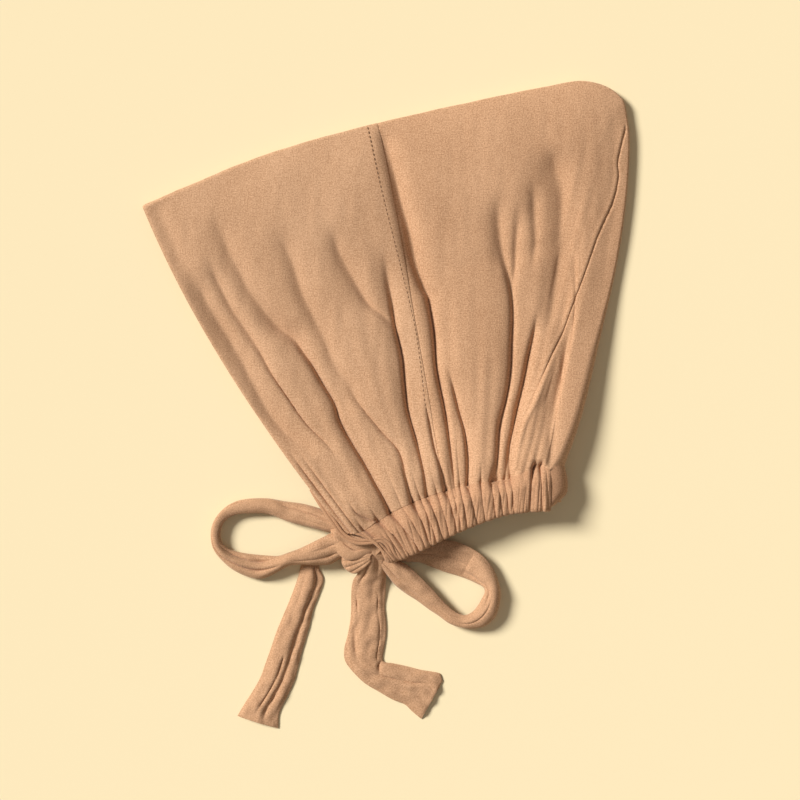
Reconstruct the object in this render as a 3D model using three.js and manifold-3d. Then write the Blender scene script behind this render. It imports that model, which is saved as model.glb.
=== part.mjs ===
// Hijab underscarf cap: a tie-back bonnet of plain woven cloth, lying on its side.
// Millimetres, +Z up from the surface it lies on, +X towards the back of the head, +Y towards the
// crown. The near layer is on top, the far layer lies on the surface.
import * as THREE from 'three';
import { mergeVertices } from 'three/addons/utils/BufferGeometryUtils.js';
import Module from 'manifold-3d';

// Sizes of the cap as it lies
const capLength = 303;            // forehead corner to the back of the head
const capHeight = 298;            // lowest point of the hem to the top of the crown
const bandWall = 1.6;             // the doubled cloth of the front band
const bagWall = 1.2;              // the single cloth of the bag behind it
const seamClearance = 0.3;        // between the pieces that a seam joins
const hemSetback = 1.3;           // the panels end this far short of the casing's stitch line
const crownFold = 2.6;            // radius of the soft fold along the crown
const faceLoft = 10;              // height of the near layer at the face edge
const bagLoft = 14.5;             // height of the near layer over the middle of the bag
const hemLoft = 17.2;             // height of the near layer at the casing
const edgeRound = 80;             // how far in from the crown fold the near layer has risen
const frontLead = 80;             // straight run of the cloth below the crown, at the face
const backLead = 25;              // the same run along the back of the head
const faceLean = 40;              // degrees that the face edge leans where it meets the casing
const backLean = -25;             // the same at the back of the neck
const seamPlace = 0.458;          // share of the way from the face to the back of the neck
const foldDepth = 5;              // deepest fold of the near layer
const farFoldDepth = 1.6;         // deepest fold of the far layer, up from the surface

// Sizes of the casing and its ruffles
const casingWidth = 25;           // stitch line to hem
const casingWall = 1.2;
const channelGap = 2.2;           // clear space for the tie
const ruffleHeight = 3.4;         // how far a ruffle stands up on the near side
const innerRuffleHeight = 0.8;    // the same on the leaves that face the neck
const pinchDepth = 1.3;           // how deep the gathers are drawn in at the stitch line
const farRuffleCount = 12;
const mouthHollow = 6;            // how far the front end of the casing is drawn in

// Sizes of the tie and its bow
const tapeWidth = 20;
const tapeWall = 1.4;             // a sewn tube of cloth, pressed flat
const tapeCup = 1.1;              // how far the tape hollows across its width
const leftReach = 95;             // knot to the far side of the left loop
const rightReach = 83;            // the same on the right
const tailDrop = 125;             // how far the tails hang down from the knot
const knotLength = 27;
const knotBreadth = 15;
const knotHeight = 15;
const knotTurn = 12;              // degrees that the knot is turned from level
const tieClearance = 0.35;
const tieDrawn = 0.875;           // share of tapeWidth that the tie keeps inside the casing
const tieEndHalf = 3.15;          // half the width of the tie where it goes into the knot
const nearTieHeight = 0.72;       // where its two ends go in, as shares of knotHeight
const farTieHeight = 0.15;
const cutClean = 0.05;            // edges shorter than this are closed up after a cut

// Outline of the cap along the crown fold and down the back, as shares of capLength and
// capHeight; at runs from the face edge to the back of the neck.
const crownOutline = [
  { at: 0, x: 0, y: 0.738 },
  { at: 0.1, x: 0.1, y: 0.781 },
  { at: 0.2, x: 0.209, y: 0.827 },
  { at: 0.3, x: 0.315, y: 0.863 },
  { at: 0.46, x: 0.485, y: 0.909 },
  { at: 0.62, x: 0.714, y: 0.961 },
  { at: 0.7, x: 0.832, y: 0.985 },
  { at: 0.74, x: 0.898, y: 0.996 },
  { at: 0.78, x: 0.951, y: 0.986 },
  { at: 0.81, x: 0.986, y: 0.958 },
  { at: 0.83, x: 0.994, y: 0.927 },
  { at: 0.86, x: 1, y: 0.869 },
  { at: 0.89, x: 0.994, y: 0.754 },
  { at: 0.92, x: 0.975, y: 0.619 },
  { at: 0.95, x: 0.941, y: 0.463 },
  { at: 0.975, x: 0.904, y: 0.306 },
  { at: 1, x: 0.866, y: 0.194 },
];

// Stitch line of the casing on the near side, as shares of capLength and capHeight; aim is the
// direction from the stitch line to the hem, in degrees from straight down towards the back, and
// width is the share of casingWidth there.
const nearStitch = [
  { at: 0, x: 0.419, y: 0.056, aim: 57, width: 1.18 },
  { at: 0.08, x: 0.452, y: 0.06, aim: 46, width: 1.04 },
  { at: 0.21, x: 0.511, y: 0.098, aim: 25, width: 1.13 },
  { at: 0.37, x: 0.583, y: 0.131, aim: 9, width: 1.15 },
  { at: 0.56, x: 0.667, y: 0.155, aim: -4, width: 1.06 },
  { at: 0.75, x: 0.751, y: 0.169, aim: -5, width: 0.87 },
  { at: 0.92, x: 0.812, y: 0.194, aim: -3, width: 1.07 },
  { at: 1, x: 0.834, y: 0.188, aim: 0, width: 0.99 },
];
const farStitch = [
  { at: 0, x: 0.397, y: 0.094, aim: 46, width: 1.05 },
  { at: 0.3, x: 0.538, y: 0.131, aim: 14, width: 0.96 },
  { at: 0.62, x: 0.693, y: 0.167, aim: -4, width: 0.9 },
  { at: 1, x: 0.834, y: 0.188, aim: 0, width: 0.99 },
];

// Folds that run up from the gathers. foot and head are the places of the two ends from the face
// to the back, top is where the fold dies out on the way from the crown (0) to the stitch line
// (1), ends is where it stops, width is a share of the cap's sweep and deep a share of foldDepth.
const nearFolds = [
  { foot: 0.045, head: 0.036, top: 0.2, ends: 0.8, width: 0.024, deep: 0.35 },
  { foot: 0.13, head: 0.074, top: 0.2, ends: 0.85, width: 0.02, deep: 0.4 },
  { foot: 0.208, head: 0.112, top: 0.12, ends: 1, width: 0.022, deep: 1 },
  { foot: 0.262, head: 0.215, top: 0.2, ends: 0.82, width: 0.022, deep: 0.45 },
  { foot: 0.33, head: 0.262, top: 0.65, ends: 1, width: 0.018, deep: 0.4 },
  { foot: 0.378, head: 0.412, top: 0.42, ends: 1, width: 0.02, deep: 1 },
  { foot: 0.4, head: 0.32, top: 0.25, ends: 0.62, width: 0.02, deep: 0.35 },
  { foot: 0.455, head: 0.446, top: 0.8, ends: 1, width: 0.012, deep: 0.6 },
  { foot: 0.505, head: 0.487, top: 0.25, ends: 0.95, width: 0.016, deep: 0.85 },
  { foot: 0.562, head: 0.53, top: 0.62, ends: 1, width: 0.018, deep: 0.7 },
  { foot: 0.688, head: 0.636, top: 0.35, ends: 1, width: 0.022, deep: 1 },
  { foot: 0.752, head: 0.742, top: 0.62, ends: 1, width: 0.018, deep: 0.85 },
  { foot: 0.8, head: 0.727, top: 0.25, ends: 0.75, width: 0.024, deep: 0.4 },
  { foot: 0.93, head: 0.92, top: 0.5, ends: 1, width: 0.022, deep: 0.45 },
];

// The back seam has rolled on to the near side: its line runs from the nose of the crown down
// to the casing, at from the crown to the stitch line.
const backSeam = [
  { at: 0, place: 0.845 },
  { at: 0.12, place: 0.89 },
  { at: 0.33, place: 0.901 },
  { at: 0.49, place: 0.896 },
  { at: 0.65, place: 0.868 },
  { at: 0.79, place: 0.816 },
  { at: 0.9, place: 0.77 },
  { at: 1, place: 0.77 },
];
const backSeamWidth = 0.008;
const backSeamStep = 1.1;         // height of the step along the back seam

// Pinched valleys between the ruffles of the near side, from the face to the back of the neck.
const pinches = [
  { at: 0.075, deep: 0.6 },
  { at: 0.14, deep: 0.8 },
  { at: 0.208, deep: 1 },
  { at: 0.3, deep: 0.9 },
  { at: 0.374, deep: 1 },
  { at: 0.42, deep: 0.6 },
  { at: 0.464, deep: 0.9 },
  { at: 0.5, deep: 0.7 },
  { at: 0.562, deep: 1 },
  { at: 0.619, deep: 0.8 },
  { at: 0.672, deep: 0.9 },
  { at: 0.712, deep: 0.7 },
  { at: 0.757, deep: 1 },
  { at: 0.868, deep: 0.9 },
  { at: 0.93, deep: 0.8 },
];

// The bow, from the knot outwards: x and y are shares of the loop's reach or the tail's drop,
// tilt is how far the tape stands up on its edge in degrees, rise lifts it by shares of
// tapeWidth, and wide is a share of tapeWidth.
const leftLoopPath = [
  { x: -0.09, y: 0.07, tilt: 8, rise: 0.19, wide: 0.5 },
  { x: -0.19, y: 0.16, tilt: 16, rise: 0.2, wide: 0.5 },
  { x: -0.31, y: 0.24, tilt: 34, rise: 0.12, wide: 0.65 },
  { x: -0.46, y: 0.29, tilt: 56, rise: 0.02, wide: 0.9 },
  { x: -0.65, y: 0.325, tilt: 64, rise: 0, wide: 1 },
  { x: -0.83, y: 0.325, tilt: 68, rise: 0, wide: 1 },
  { x: -0.93, y: 0.27, tilt: 72, rise: 0, wide: 1 },
  { x: -0.97, y: 0.16, tilt: 72, rise: 0, wide: 1 },
  { x: -0.94, y: 0.05, tilt: 64, rise: 0, wide: 1 },
  { x: -0.84, y: -0.03, tilt: 50, rise: 0, wide: 1 },
  { x: -0.7, y: -0.055, tilt: 38, rise: 0.02, wide: 1 },
  { x: -0.55, y: -0.02, tilt: 26, rise: 0.1, wide: 0.95 },
  { x: -0.4, y: 0.025, tilt: 16, rise: 0.32, wide: 0.9 },
  { x: -0.25, y: 0.04, tilt: 6, rise: 0.46, wide: 0.7 },
  { x: -0.08, y: 0.0, tilt: 0, rise: 0.48, wide: 0.5 },
];
const rightLoopPath = [
  { x: 0.1, y: 0.02, tilt: 0, rise: 0.3, wide: 0.55 },
  { x: 0.25, y: 0.02, tilt: -10, rise: 0.26, wide: 0.7 },
  { x: 0.4, y: 0.025, tilt: -22, rise: 0.12, wide: 0.9 },
  { x: 0.56, y: 0.02, tilt: -32, rise: 0.02, wide: 1 },
  { x: 0.72, y: -0.02, tilt: -42, rise: 0, wide: 1 },
  { x: 0.85, y: -0.1, tilt: -52, rise: 0, wide: 1 },
  { x: 0.92, y: -0.22, tilt: -60, rise: 0, wide: 1 },
  { x: 0.935, y: -0.35, tilt: -64, rise: 0, wide: 1 },
  { x: 0.86, y: -0.455, tilt: -66, rise: 0, wide: 1 },
  { x: 0.73, y: -0.475, tilt: -62, rise: 0, wide: 1 },
  { x: 0.59, y: -0.4, tilt: -54, rise: 0, wide: 1 },
  { x: 0.46, y: -0.29, tilt: -42, rise: 0.04, wide: 0.95 },
  { x: 0.33, y: -0.18, tilt: -26, rise: 0.14, wide: 0.8 },
  { x: 0.17, y: -0.07, tilt: -8, rise: 0.16, wide: 0.6 },
];
const leftTailPath = [
  { x: -0.09, y: 0, tilt: 0, rise: 0.02, wide: 0.6 },
  { x: -0.19, y: 0.01, tilt: 0, rise: 0, wide: 0.75 },
  { x: -0.25, y: -0.03, tilt: 0, rise: 0, wide: 0.75 },
  { x: -0.28, y: -0.12, tilt: 0, rise: 0, wide: 0.8 },
  { x: -0.325, y: -0.26, tilt: 0, rise: 0, wide: 0.95 },
  { x: -0.375, y: -0.4, tilt: 0, rise: 0, wide: 1 },
  { x: -0.425, y: -0.55, tilt: 0, rise: 0, wide: 1 },
  { x: -0.485, y: -0.7, tilt: 0, rise: 0, wide: 1 },
  { x: -0.536, y: -0.83, tilt: 0, rise: 0, wide: 1.05 },
];
const rightTailPath = [
  { x: 0.03, y: -0.02, tilt: 0, rise: 0.08, wide: 0.7 },
  { x: 0.024, y: -0.12, tilt: 0, rise: 0.02, wide: 0.95 },
  { x: 0.01, y: -0.26, tilt: 0, rise: 0, wide: 1 },
  { x: 0.002, y: -0.38, tilt: -12, rise: 0, wide: 1 },
  { x: -0.008, y: -0.47, tilt: -28, rise: 0, wide: 0.98 },
  { x: 0.008, y: -0.545, tilt: -34, rise: 0, wide: 0.98 },
  { x: 0.07, y: -0.6, tilt: -24, rise: 0, wide: 0.98 },
  { x: 0.16, y: -0.625, tilt: -10, rise: 0, wide: 1 },
  { x: 0.25, y: -0.655, tilt: 0, rise: 0, wide: 1 },
  { x: 0.33, y: -0.7, tilt: 0, rise: 0, wide: 1 },
];
const knotPlace = { x: 0.452, y: -0.003 };   // shares of capLength and capHeight
const knotGrooves = [
  { at: 0.35, width: 0.16, deep: 0.12 },
  { at: -0.45, width: 0.16, deep: 0.12 },
];

const up = new THREE.Vector3(0, 0, 1);
const radians = THREE.MathUtils.degToRad;
const smooth = THREE.MathUtils.smoothstep;
const mix = THREE.MathUtils.lerp;

// A smooth curve through one column of a table.
function read(table, column, at) {
  const last = table.length - 2;
  let row = 0;
  while (row < last && table[row + 1].at < at) row += 1;
  const a = table[row];
  const b = table[row + 1];
  const span = b.at - a.at;
  const slope = (k) => {
    const before = table[Math.max(k - 1, 0)];
    const after = table[Math.min(k + 1, table.length - 1)];
    return (after[column] - before[column]) / (after.at - before.at);
  };
  const u = THREE.MathUtils.clamp((at - a.at) / span, 0, 1);
  const rise = (1 - u) * (1 - u) * u * slope(row) * span;
  const fall = u * u * (u - 1) * slope(row + 1) * span;
  return mix(a[column], b[column], u * u * (3 - 2 * u)) + rise + fall;
}

const crownPoint = (s) => new THREE.Vector3(
  read(crownOutline, 'x', s) * capLength, read(crownOutline, 'y', s) * capHeight, 0);

function stitchPoint(s, far) {
  const table = far ? farStitch : nearStitch;
  return new THREE.Vector3(read(table, 'x', s) * capLength, read(table, 'y', s) * capHeight, 0);
}

// From the stitch line to the hem, in the plane of the surface.
function casingDrop(s, far) {
  const table = far ? farStitch : nearStitch;
  const aim = radians(read(table, 'aim', s));
  const width = read(table, 'width', s) * casingWidth;
  return new THREE.Vector3(Math.sin(aim) * width, -Math.cos(aim) * width, 0);
}

// A point of the cap in plan: s from the face edge to the back of the neck, t from the crown fold
// to the stitch line.
function planPoint(s, t, far) {
  const step = 0.004;
  const crown = crownPoint(s);
  const stitch = stitchPoint(s, far);
  const along = crownPoint(Math.min(s + step, 1)).sub(crownPoint(Math.max(s - step, 0))).normalize();
  const inward = new THREE.Vector3(along.y, -along.x, 0);
  const length = crown.distanceTo(stitch);
  const lean = radians(mix(faceLean, backLean, s));
  const upward = new THREE.Vector3(-Math.sin(lean), Math.cos(lean), 0);
  const lead = Math.min(mix(frontLead, backLead, Math.min(1, s / 0.6)), length / 3);
  const run = new THREE.CubicBezierCurve3(
    crown,
    crown.clone().addScaledVector(inward, lead),
    stitch.clone().addScaledVector(upward, length / 3),
    stitch);
  return { point: run.getPoint(t), length };
}

// Height of the near layer over the surface, before its folds.
// The fold opens towards the back of the neck, until it is as high as the hem.
const foldRadius = (s) => mix(crownFold, hemLoft / 2, smooth(s, 0.92, 1));

function nearHeight(s, t, length, wall) {
  const folded = 2 * foldRadius(s);
  const inFromEdge = Math.min(1, t * Math.max(1, length / edgeRound));
  const rise = 1 - (1 - inFromEdge) ** 2;
  const middle = mix(faceLoft, bagLoft, smooth(s, 0, 0.25));
  const loft = mix(middle, hemLoft, smooth(t, 0.6, 1));
  return wall / 2 + folded + (loft - folded) * rise;
}

const bump = (distance, width) => Math.exp(-((distance / width) ** 2));

// How far the folds draw a layer in, as a share of the deepest fold.
function foldShare(s, t) {
  let depth = 0;
  for (const fold of nearFolds) {
    const way = (t - fold.top) / (1 - fold.top);
    const place = mix(fold.head, fold.foot, Math.max(way, 0));
    const grow = smooth(way, 0, 0.6) * (1 - 0.9 * smooth(t, fold.ends - 0.05, fold.ends + 0.1));
    depth += fold.deep * grow * bump(s - place, fold.width);
  }
  return Math.min(depth, 1.1);
}

// One for the crest of a ruffle, nought for a pinched valley.
function ruffleWave(s) {
  let row = 0;
  while (row < pinches.length && pinches[row].at < s) row += 1;
  const before = row > 0 ? pinches[row - 1] : { at: 0, deep: 0.5 };
  const after = row < pinches.length ? pinches[row] : { at: 1, deep: 0.2 };
  const share = THREE.MathUtils.clamp((s - before.at) / (after.at - before.at), 0, 1);
  const deep = mix(before.deep, after.deep, share);
  return 1 - deep * (0.5 + 0.5 * Math.cos(2 * Math.PI * share));
}

const seamGroove = (s, t) => bump(s - read(backSeam, 'place', t), backSeamWidth);

function nearRelief(s, t) {
  const folds = mix(foldDepth * foldShare(s, t), pinchDepth * (1 - ruffleWave(s)), smooth(t, 0.88, 1));
  const tuck = backSeamStep * seamGroove(s, t) * smooth(t, 0, 0.1) * (1 - smooth(t, 0.85, 1));
  return -(folds + tuck) * (1 - smooth(s, 0.965, 1));
}

// Steps of one run of cloth from the near stitch line over the crown fold to the far one. turn
// is the angle round the fold, and way the share of the flat stretch beyond it.
const nearSteps = [1, 0.94, 0.87, 0.78, 0.68, 0.57, 0.46, 0.34, 0.22, 0.11, 0.03];
const foldSteps = [90, 45, 0, -45, -90];
const farSteps = [0.06, 0.25, 0.5, 0.75, 0.92, 1];

function capSection(s, wall) {
  const run = [];
  const place = (t, z, far, relief) => {
    const { point } = planPoint(s, t, far);
    run.push(new THREE.Vector3(point.x, point.y, z + relief));
  };
  const nearLength = planPoint(s, 0, false).length;
  const radius = foldRadius(s);
  const inset = Math.min(radius, 0.85 * nearLength);
  const start = (wall / 2 + inset) / nearLength;
  for (const step of nearSteps) {
    const t = mix(start, 1 - hemSetback / nearLength, step);
    place(t, nearHeight(s, t - start * (1 - step), nearLength, wall), false, nearRelief(s, t));
  }
  for (const turn of foldSteps) {
    const t = (wall / 2 + inset * (1 - Math.cos(radians(turn)))) / nearLength;
    place(t, wall / 2 + radius * (1 + Math.sin(radians(turn))), turn < 0, 0);
  }
  for (const step of farSteps) {
    const t = mix(start, 1 - hemSetback / nearLength, step);
    const lift = farFoldDepth * foldShare(s, t) * (1 - smooth(t, 0.8, 0.9));
    place(t, wall / 2, true, lift);
  }
  return run;
}

// Gives a sheet of points its thickness: both faces lie half a wall from the sheet, the rims are
// closed, and the cloth is flat where it lies on the surface.
function thicken(sheet, wall) {
  const rows = sheet.length;
  const columns = sheet[0].length;
  const positions = [];
  const pick = (i, j) => sheet[Math.min(Math.max(i, 0), rows - 1)][Math.min(Math.max(j, 0), columns - 1)];
  for (const side of [0.5, -0.5]) {
    for (let i = 0; i < rows; i += 1) {
      for (let j = 0; j < columns; j += 1) {
        const across = pick(i + 1, j).clone().sub(pick(i - 1, j));
        const along = pick(i, j + 1).clone().sub(pick(i, j - 1));
        const normal = across.cross(along).normalize();
        const point = sheet[i][j].clone().addScaledVector(normal, side * wall);
        positions.push(point.x, point.y, Math.max(point.z, 0));
      }
    }
  }
  const index = [];
  const id = (side, i, j) => (side * rows + i) * columns + j;
  const quad = (a, b, c, d) => index.push(a, b, c, a, c, d);
  for (let i = 0; i < rows - 1; i += 1) {
    for (let j = 0; j < columns - 1; j += 1) {
      quad(id(0, i, j), id(0, i + 1, j), id(0, i + 1, j + 1), id(0, i, j + 1));
      quad(id(1, i, j), id(1, i, j + 1), id(1, i + 1, j + 1), id(1, i + 1, j));
    }
    quad(id(0, i + 1, 0), id(0, i, 0), id(1, i, 0), id(1, i + 1, 0));
    quad(id(0, i, columns - 1), id(0, i + 1, columns - 1), id(1, i + 1, columns - 1), id(1, i, columns - 1));
  }
  for (let j = 0; j < columns - 1; j += 1) {
    quad(id(0, 0, j), id(0, 0, j + 1), id(1, 0, j + 1), id(1, 0, j));
    quad(id(0, rows - 1, j + 1), id(0, rows - 1, j), id(1, rows - 1, j), id(1, rows - 1, j + 1));
  }
  return closedShape(positions, index);
}

function closedShape(positions, index) {
  const shape = new THREE.BufferGeometry();
  shape.setAttribute('position', new THREE.Float32BufferAttribute(positions, 3));
  shape.setIndex(index);
  if (volumeOf(shape) < 0) index.reverse();
  shape.setIndex(index);
  return shape;
}

function volumeOf(shape) {
  const point = (k) => new THREE.Vector3().fromBufferAttribute(shape.attributes.position, shape.index.getX(k));
  let volume = 0;
  for (let k = 0; k < shape.index.count; k += 3) {
    volume += point(k).dot(point(k + 1).cross(point(k + 2))) / 6;
  }
  return volume;
}

const sweepSteps = 4;

// Places from the face to the back of the neck: each pinched valley, each crest and a step
// between them.
function sweepPlaces(from, to) {
  const marks = [0, ...pinches.map((pinch) => pinch.at), 1];
  const places = [];
  for (let k = 0; k < marks.length - 1; k += 1) {
    for (let step = 0; step < sweepSteps; step += 1) {
      places.push(mix(marks[k], marks[k + 1], step / sweepSteps));
    }
  }
  const clear = 0.25 * (to - from) / places.length;
  const kept = places.filter((s) => s > from + clear && s < to - clear);
  return [from, ...kept, to];
}

function capPanel(from, to, wall) {
  const sheet = sweepPlaces(from, to).map((s) => capSection(s, wall));
  if (from === seamPlace) drawBack(sheet[0], sheet[1]);
  if (to === seamPlace) drawBack(sheet[sheet.length - 1], sheet[sheet.length - 2]);
  return thicken(sheet, wall);
}

// Moves the edge of a panel back from the seam by half its clearance.
function drawBack(edge, inside) {
  edge.forEach((point, k) => {
    const inward = inside[k].clone().sub(point).normalize();
    point.addScaledVector(inward, seamClearance);
  });
}

// The mouth of the neck as one run of places: near side, round the back of the neck, far side.
// out points away from the neck, drop runs from the stitch line to the hem, and outer and inner
// are how far a ruffle stands up on the two leaves.
function neckRing() {
  const ring = [];
  const nearFace = (s) => nearHeight(s, 1, planPoint(s, 0, false).length, bagWall);
  for (const s of sweepPlaces(0, 1)) {
    ring.push({ s, at: stitchPoint(s, false).setZ(nearFace(s)), drop: casingDrop(s, false), out: up.clone(),
      wave: ruffleWave(s), outer: ruffleHeight, inner: innerRuffleHeight, dip: -nearRelief(s, 1) });
  }
  const backRun = capSection(1, bagWall);
  const drop = casingDrop(1, false);
  for (let k = nearSteps.length; k < nearSteps.length + foldSteps.length; k += 1) {
    const tangent = backRun[k + 1].clone().sub(backRun[k - 1]).normalize();
    const out = drop.clone().normalize().cross(tangent).normalize();
    const share = k / (backRun.length - 1);
    ring.push({ s: 1, at: backRun[k], drop, out, wave: 0.5, outer: ruffleHeight * (1 - share),
      inner: innerRuffleHeight, dip: 0 });
  }
  const farColumns = farRuffleCount * 2;
  for (let k = 0; k <= farColumns; k += 1) {
    const s = 1 - k / farColumns;
    ring.push({ s, at: stitchPoint(s, true).setZ(bagWall / 2), drop: casingDrop(s, true),
      out: up.clone().negate(), wave: k % 2, outer: 0, inner: innerRuffleHeight, dip: 0 });
  }
  return ring;
}

// The casing's run of cloth from the outer stitch line round the hem to the inner one: down is
// the share of the way to the hem, leaf is 1 on the outer leaf and -1 on the inner one, and puff
// how much of the ruffle shows.
const casingRun = [
  { down: 0, leaf: 1, puff: 0 },
  { down: 0.2, leaf: 1, puff: 0.75 },
  { down: 0.6, leaf: 1, puff: 1 },
  { down: 0.92, leaf: 0.95, puff: 0.9 },
  { down: 1, leaf: 0, puff: 0.4 },
  { down: 0.92, leaf: -0.95, puff: 0.6 },
  { down: 0.5, leaf: -1, puff: 1 },
  { down: 0.02, leaf: -1, puff: 0.2 },
];

const channelHalf = (channelGap + casingWall) / 2;
const acrossHem = (drop) => up.clone().cross(drop).normalize();

// Draws the front end of the casing in, where the tie comes out of it.
const mouthBow = (s, down) => mouthHollow * bump(s, 0.06) * 4 * down * (1 - down);

function casingSheet() {
  return neckRing().map(({ s, at, drop, out, wave, outer, inner, dip }) => {
    const aside = acrossHem(drop);
    return casingRun.map(({ down, leaf, puff }) => {
      const ruffle = (leaf > 0 ? outer : -inner) * wave * puff * (leaf === 0 ? 0 : 1);
      const lift = channelHalf * (leaf - 1) + ruffle - (down === 0 ? dip : 0);
      const reach = mix(seamClearance / casingWidth, 1 + (leaf === 0 ? 0.05 * wave : 0), down);
      return at.clone().addScaledVector(drop, reach)
        .addScaledVector(aside, mouthBow(s, down)).addScaledVector(out, lift);
    });
  });
}

// Where the knot sits, at the front end of the casing.
const knotCentre = new THREE.Vector3(
  knotPlace.x * capLength, knotPlace.y * capHeight, knotHeight / 2);

// The tie inside the casing: it follows the channel all round the neck and ends in the knot.
const tapeSides = [-1, 0, 1];

function tieSheet() {
  const ring = neckRing().filter((place, k, all) => place.s === 1 || k % 2 === 0 || k === all.length - 1);
  const half = tieDrawn * tapeWidth / casingWidth / 2;
  const sheet = ring.map(({ s, at, drop, out }) => tapeSides.map((side) => at.clone()
    .addScaledVector(drop, 0.5 + side * half)
    .addScaledVector(acrossHem(drop), mouthBow(s, 0.5 + side * half))
    .addScaledVector(out, -channelHalf)));
  const endAt = (place, height) => tapeSides.map((side) => knotCentre.clone().setZ(height)
    .addScaledVector(place.drop.clone().normalize(), side * tieEndHalf));
  sheet.unshift(endAt(ring[0], nearTieHeight * knotHeight));
  sheet.push(endAt(ring[ring.length - 1], farTieHeight * knotHeight));
  return sheet;
}

// A stretch of tape along a path: its lower edge lies on the surface unless it is lifted.
function tapeSheet(path, reach) {
  const rows = path.map((row, k) => ({ ...row, at: k / (path.length - 1) }));
  const steps = (path.length - 1) * 2;
  const centre = (at) => new THREE.Vector3(
    knotCentre.x + read(rows, 'x', at) * reach, knotCentre.y + read(rows, 'y', at) * reach, 0);
  const sheet = [];
  for (let k = 0; k <= steps; k += 1) {
    const at = k / steps;
    const tangent = centre(Math.min(at + 0.01, 1)).sub(centre(Math.max(at - 0.01, 0))).normalize();
    const aside = up.clone().cross(tangent);
    const tilt = radians(read(rows, 'tilt', at));
    const half = read(rows, 'wide', at) * tapeWidth / 2;
    const across = aside.multiplyScalar(Math.cos(tilt)).addScaledVector(up, Math.sin(tilt));
    const normal = tangent.clone().cross(across).normalize();
    const lie = half * Math.abs(Math.sin(tilt)) + tapeWall / 2 * Math.cos(tilt);
    const middle = centre(at).setZ(lie + read(rows, 'rise', at) * tapeWidth);
    sheet.push(tapeSides.map((side) => middle.clone()
      .addScaledVector(across, side * half)
      .addScaledVector(normal, tapeCup * (1 - side * side))));
  }
  return sheet;
}

// The knot: the tape wrapped tight round itself, as a soft lump with a groove each side of the
// wrap.
function knotShape(grow) {
  const ball = new THREE.SphereGeometry(1, 24, 14);
  ball.deleteAttribute('normal');
  ball.deleteAttribute('uv');
  const shape = mergeVertices(ball);
  const points = shape.attributes.position;
  const turn = radians(knotTurn);
  const square = (value) => Math.sign(value) * Math.abs(value) ** 0.8;
  for (let k = 0; k < points.count; k += 1) {
    const x = square(points.getX(k));
    const y = square(points.getY(k));
    const z = square(points.getZ(k));
    const wrap = knotGrooves.reduce((size, groove) => size - groove.deep * bump(x - groove.at, groove.width), 1);
    const along = x * (knotLength / 2 + grow);
    const across = y * wrap * (knotBreadth / 2 + grow);
    points.setXYZ(k,
      knotCentre.x + along * Math.cos(turn) + across * Math.sin(turn),
      knotCentre.y - along * Math.sin(turn) + across * Math.cos(turn),
      Math.max(knotCentre.z + z * wrap * (knotHeight / 2 + grow), grow > 0 ? -grow : 0));
  }
  return closedShape([...points.array], [...shape.index.array]);
}

const wasm = await Module();
wasm.setup();

function solidOf(shape) {
  const numbers = { numProp: 3, vertProperties: new Float32Array(shape.attributes.position.array),
    triVerts: new Uint32Array(shape.index.array) };
  return new wasm.Manifold(new wasm.Mesh(numbers));
}

function shapeOf(solid) {
  const mesh = solid.getMesh();
  return closedShape([...mesh.vertProperties], [...mesh.triVerts]);
}

// Cuts a piece of tape where it goes into the knot.
const knotRoom = solidOf(knotShape(tieClearance));
const intoKnot = (shape) => shapeOf(solidOf(shape).subtract(knotRoom).simplify(cutClean));

const group = new THREE.Group();
const cloth = { roughness: 0.92, metalness: 0 };

function addPiece(name, shape, color) {
  const mesh = new THREE.Mesh(shape, new THREE.MeshStandardMaterial({ color, ...cloth }));
  mesh.name = name;
  group.add(mesh);
  return mesh;
}

addPiece('front_panel', capPanel(0, seamPlace, bandWall), 0xcf9f78);
addPiece('crown_panel', capPanel(seamPlace, 1, bagWall), 0xcd9c75);
addPiece('neck_casing', thicken(casingSheet(), casingWall), 0xc29069);
addPiece('neck_tie', intoKnot(thicken(tieSheet(), tapeWall)), 0xc89770);
addPiece('bow_knot', knotShape(0), 0xba8862);
addPiece('left_loop', intoKnot(thicken(tapeSheet(leftLoopPath, leftReach), tapeWall)), 0xc89770);
addPiece('right_loop', intoKnot(thicken(tapeSheet(rightLoopPath, rightReach), tapeWall)), 0xc89770);
addPiece('left_tail', intoKnot(thicken(tapeSheet(leftTailPath, tailDrop), tapeWall)), 0xc6956e);
addPiece('right_tail', intoKnot(thicken(tapeSheet(rightTailPath, tailDrop), tapeWall)), 0xc6956e);

// The origin is the middle of the footprint, on the surface.
const bounds = new THREE.Box3().setFromObject(group);
const middle = bounds.getCenter(new THREE.Vector3());
group.position.set(-middle.x, -middle.y, -bounds.min.z);

export default group;
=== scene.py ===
"""Looks of a tie-back underscarf cap of thin plain-woven cloth, lying on its side.

The near layer is on top and the far layer lies on the floor. Shapes are worked out in
millimetres in the cap's own plane, with x from the forehead to the back of the head and y up to
the crown, and are then moved into the frame in metres.
"""
import math

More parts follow.
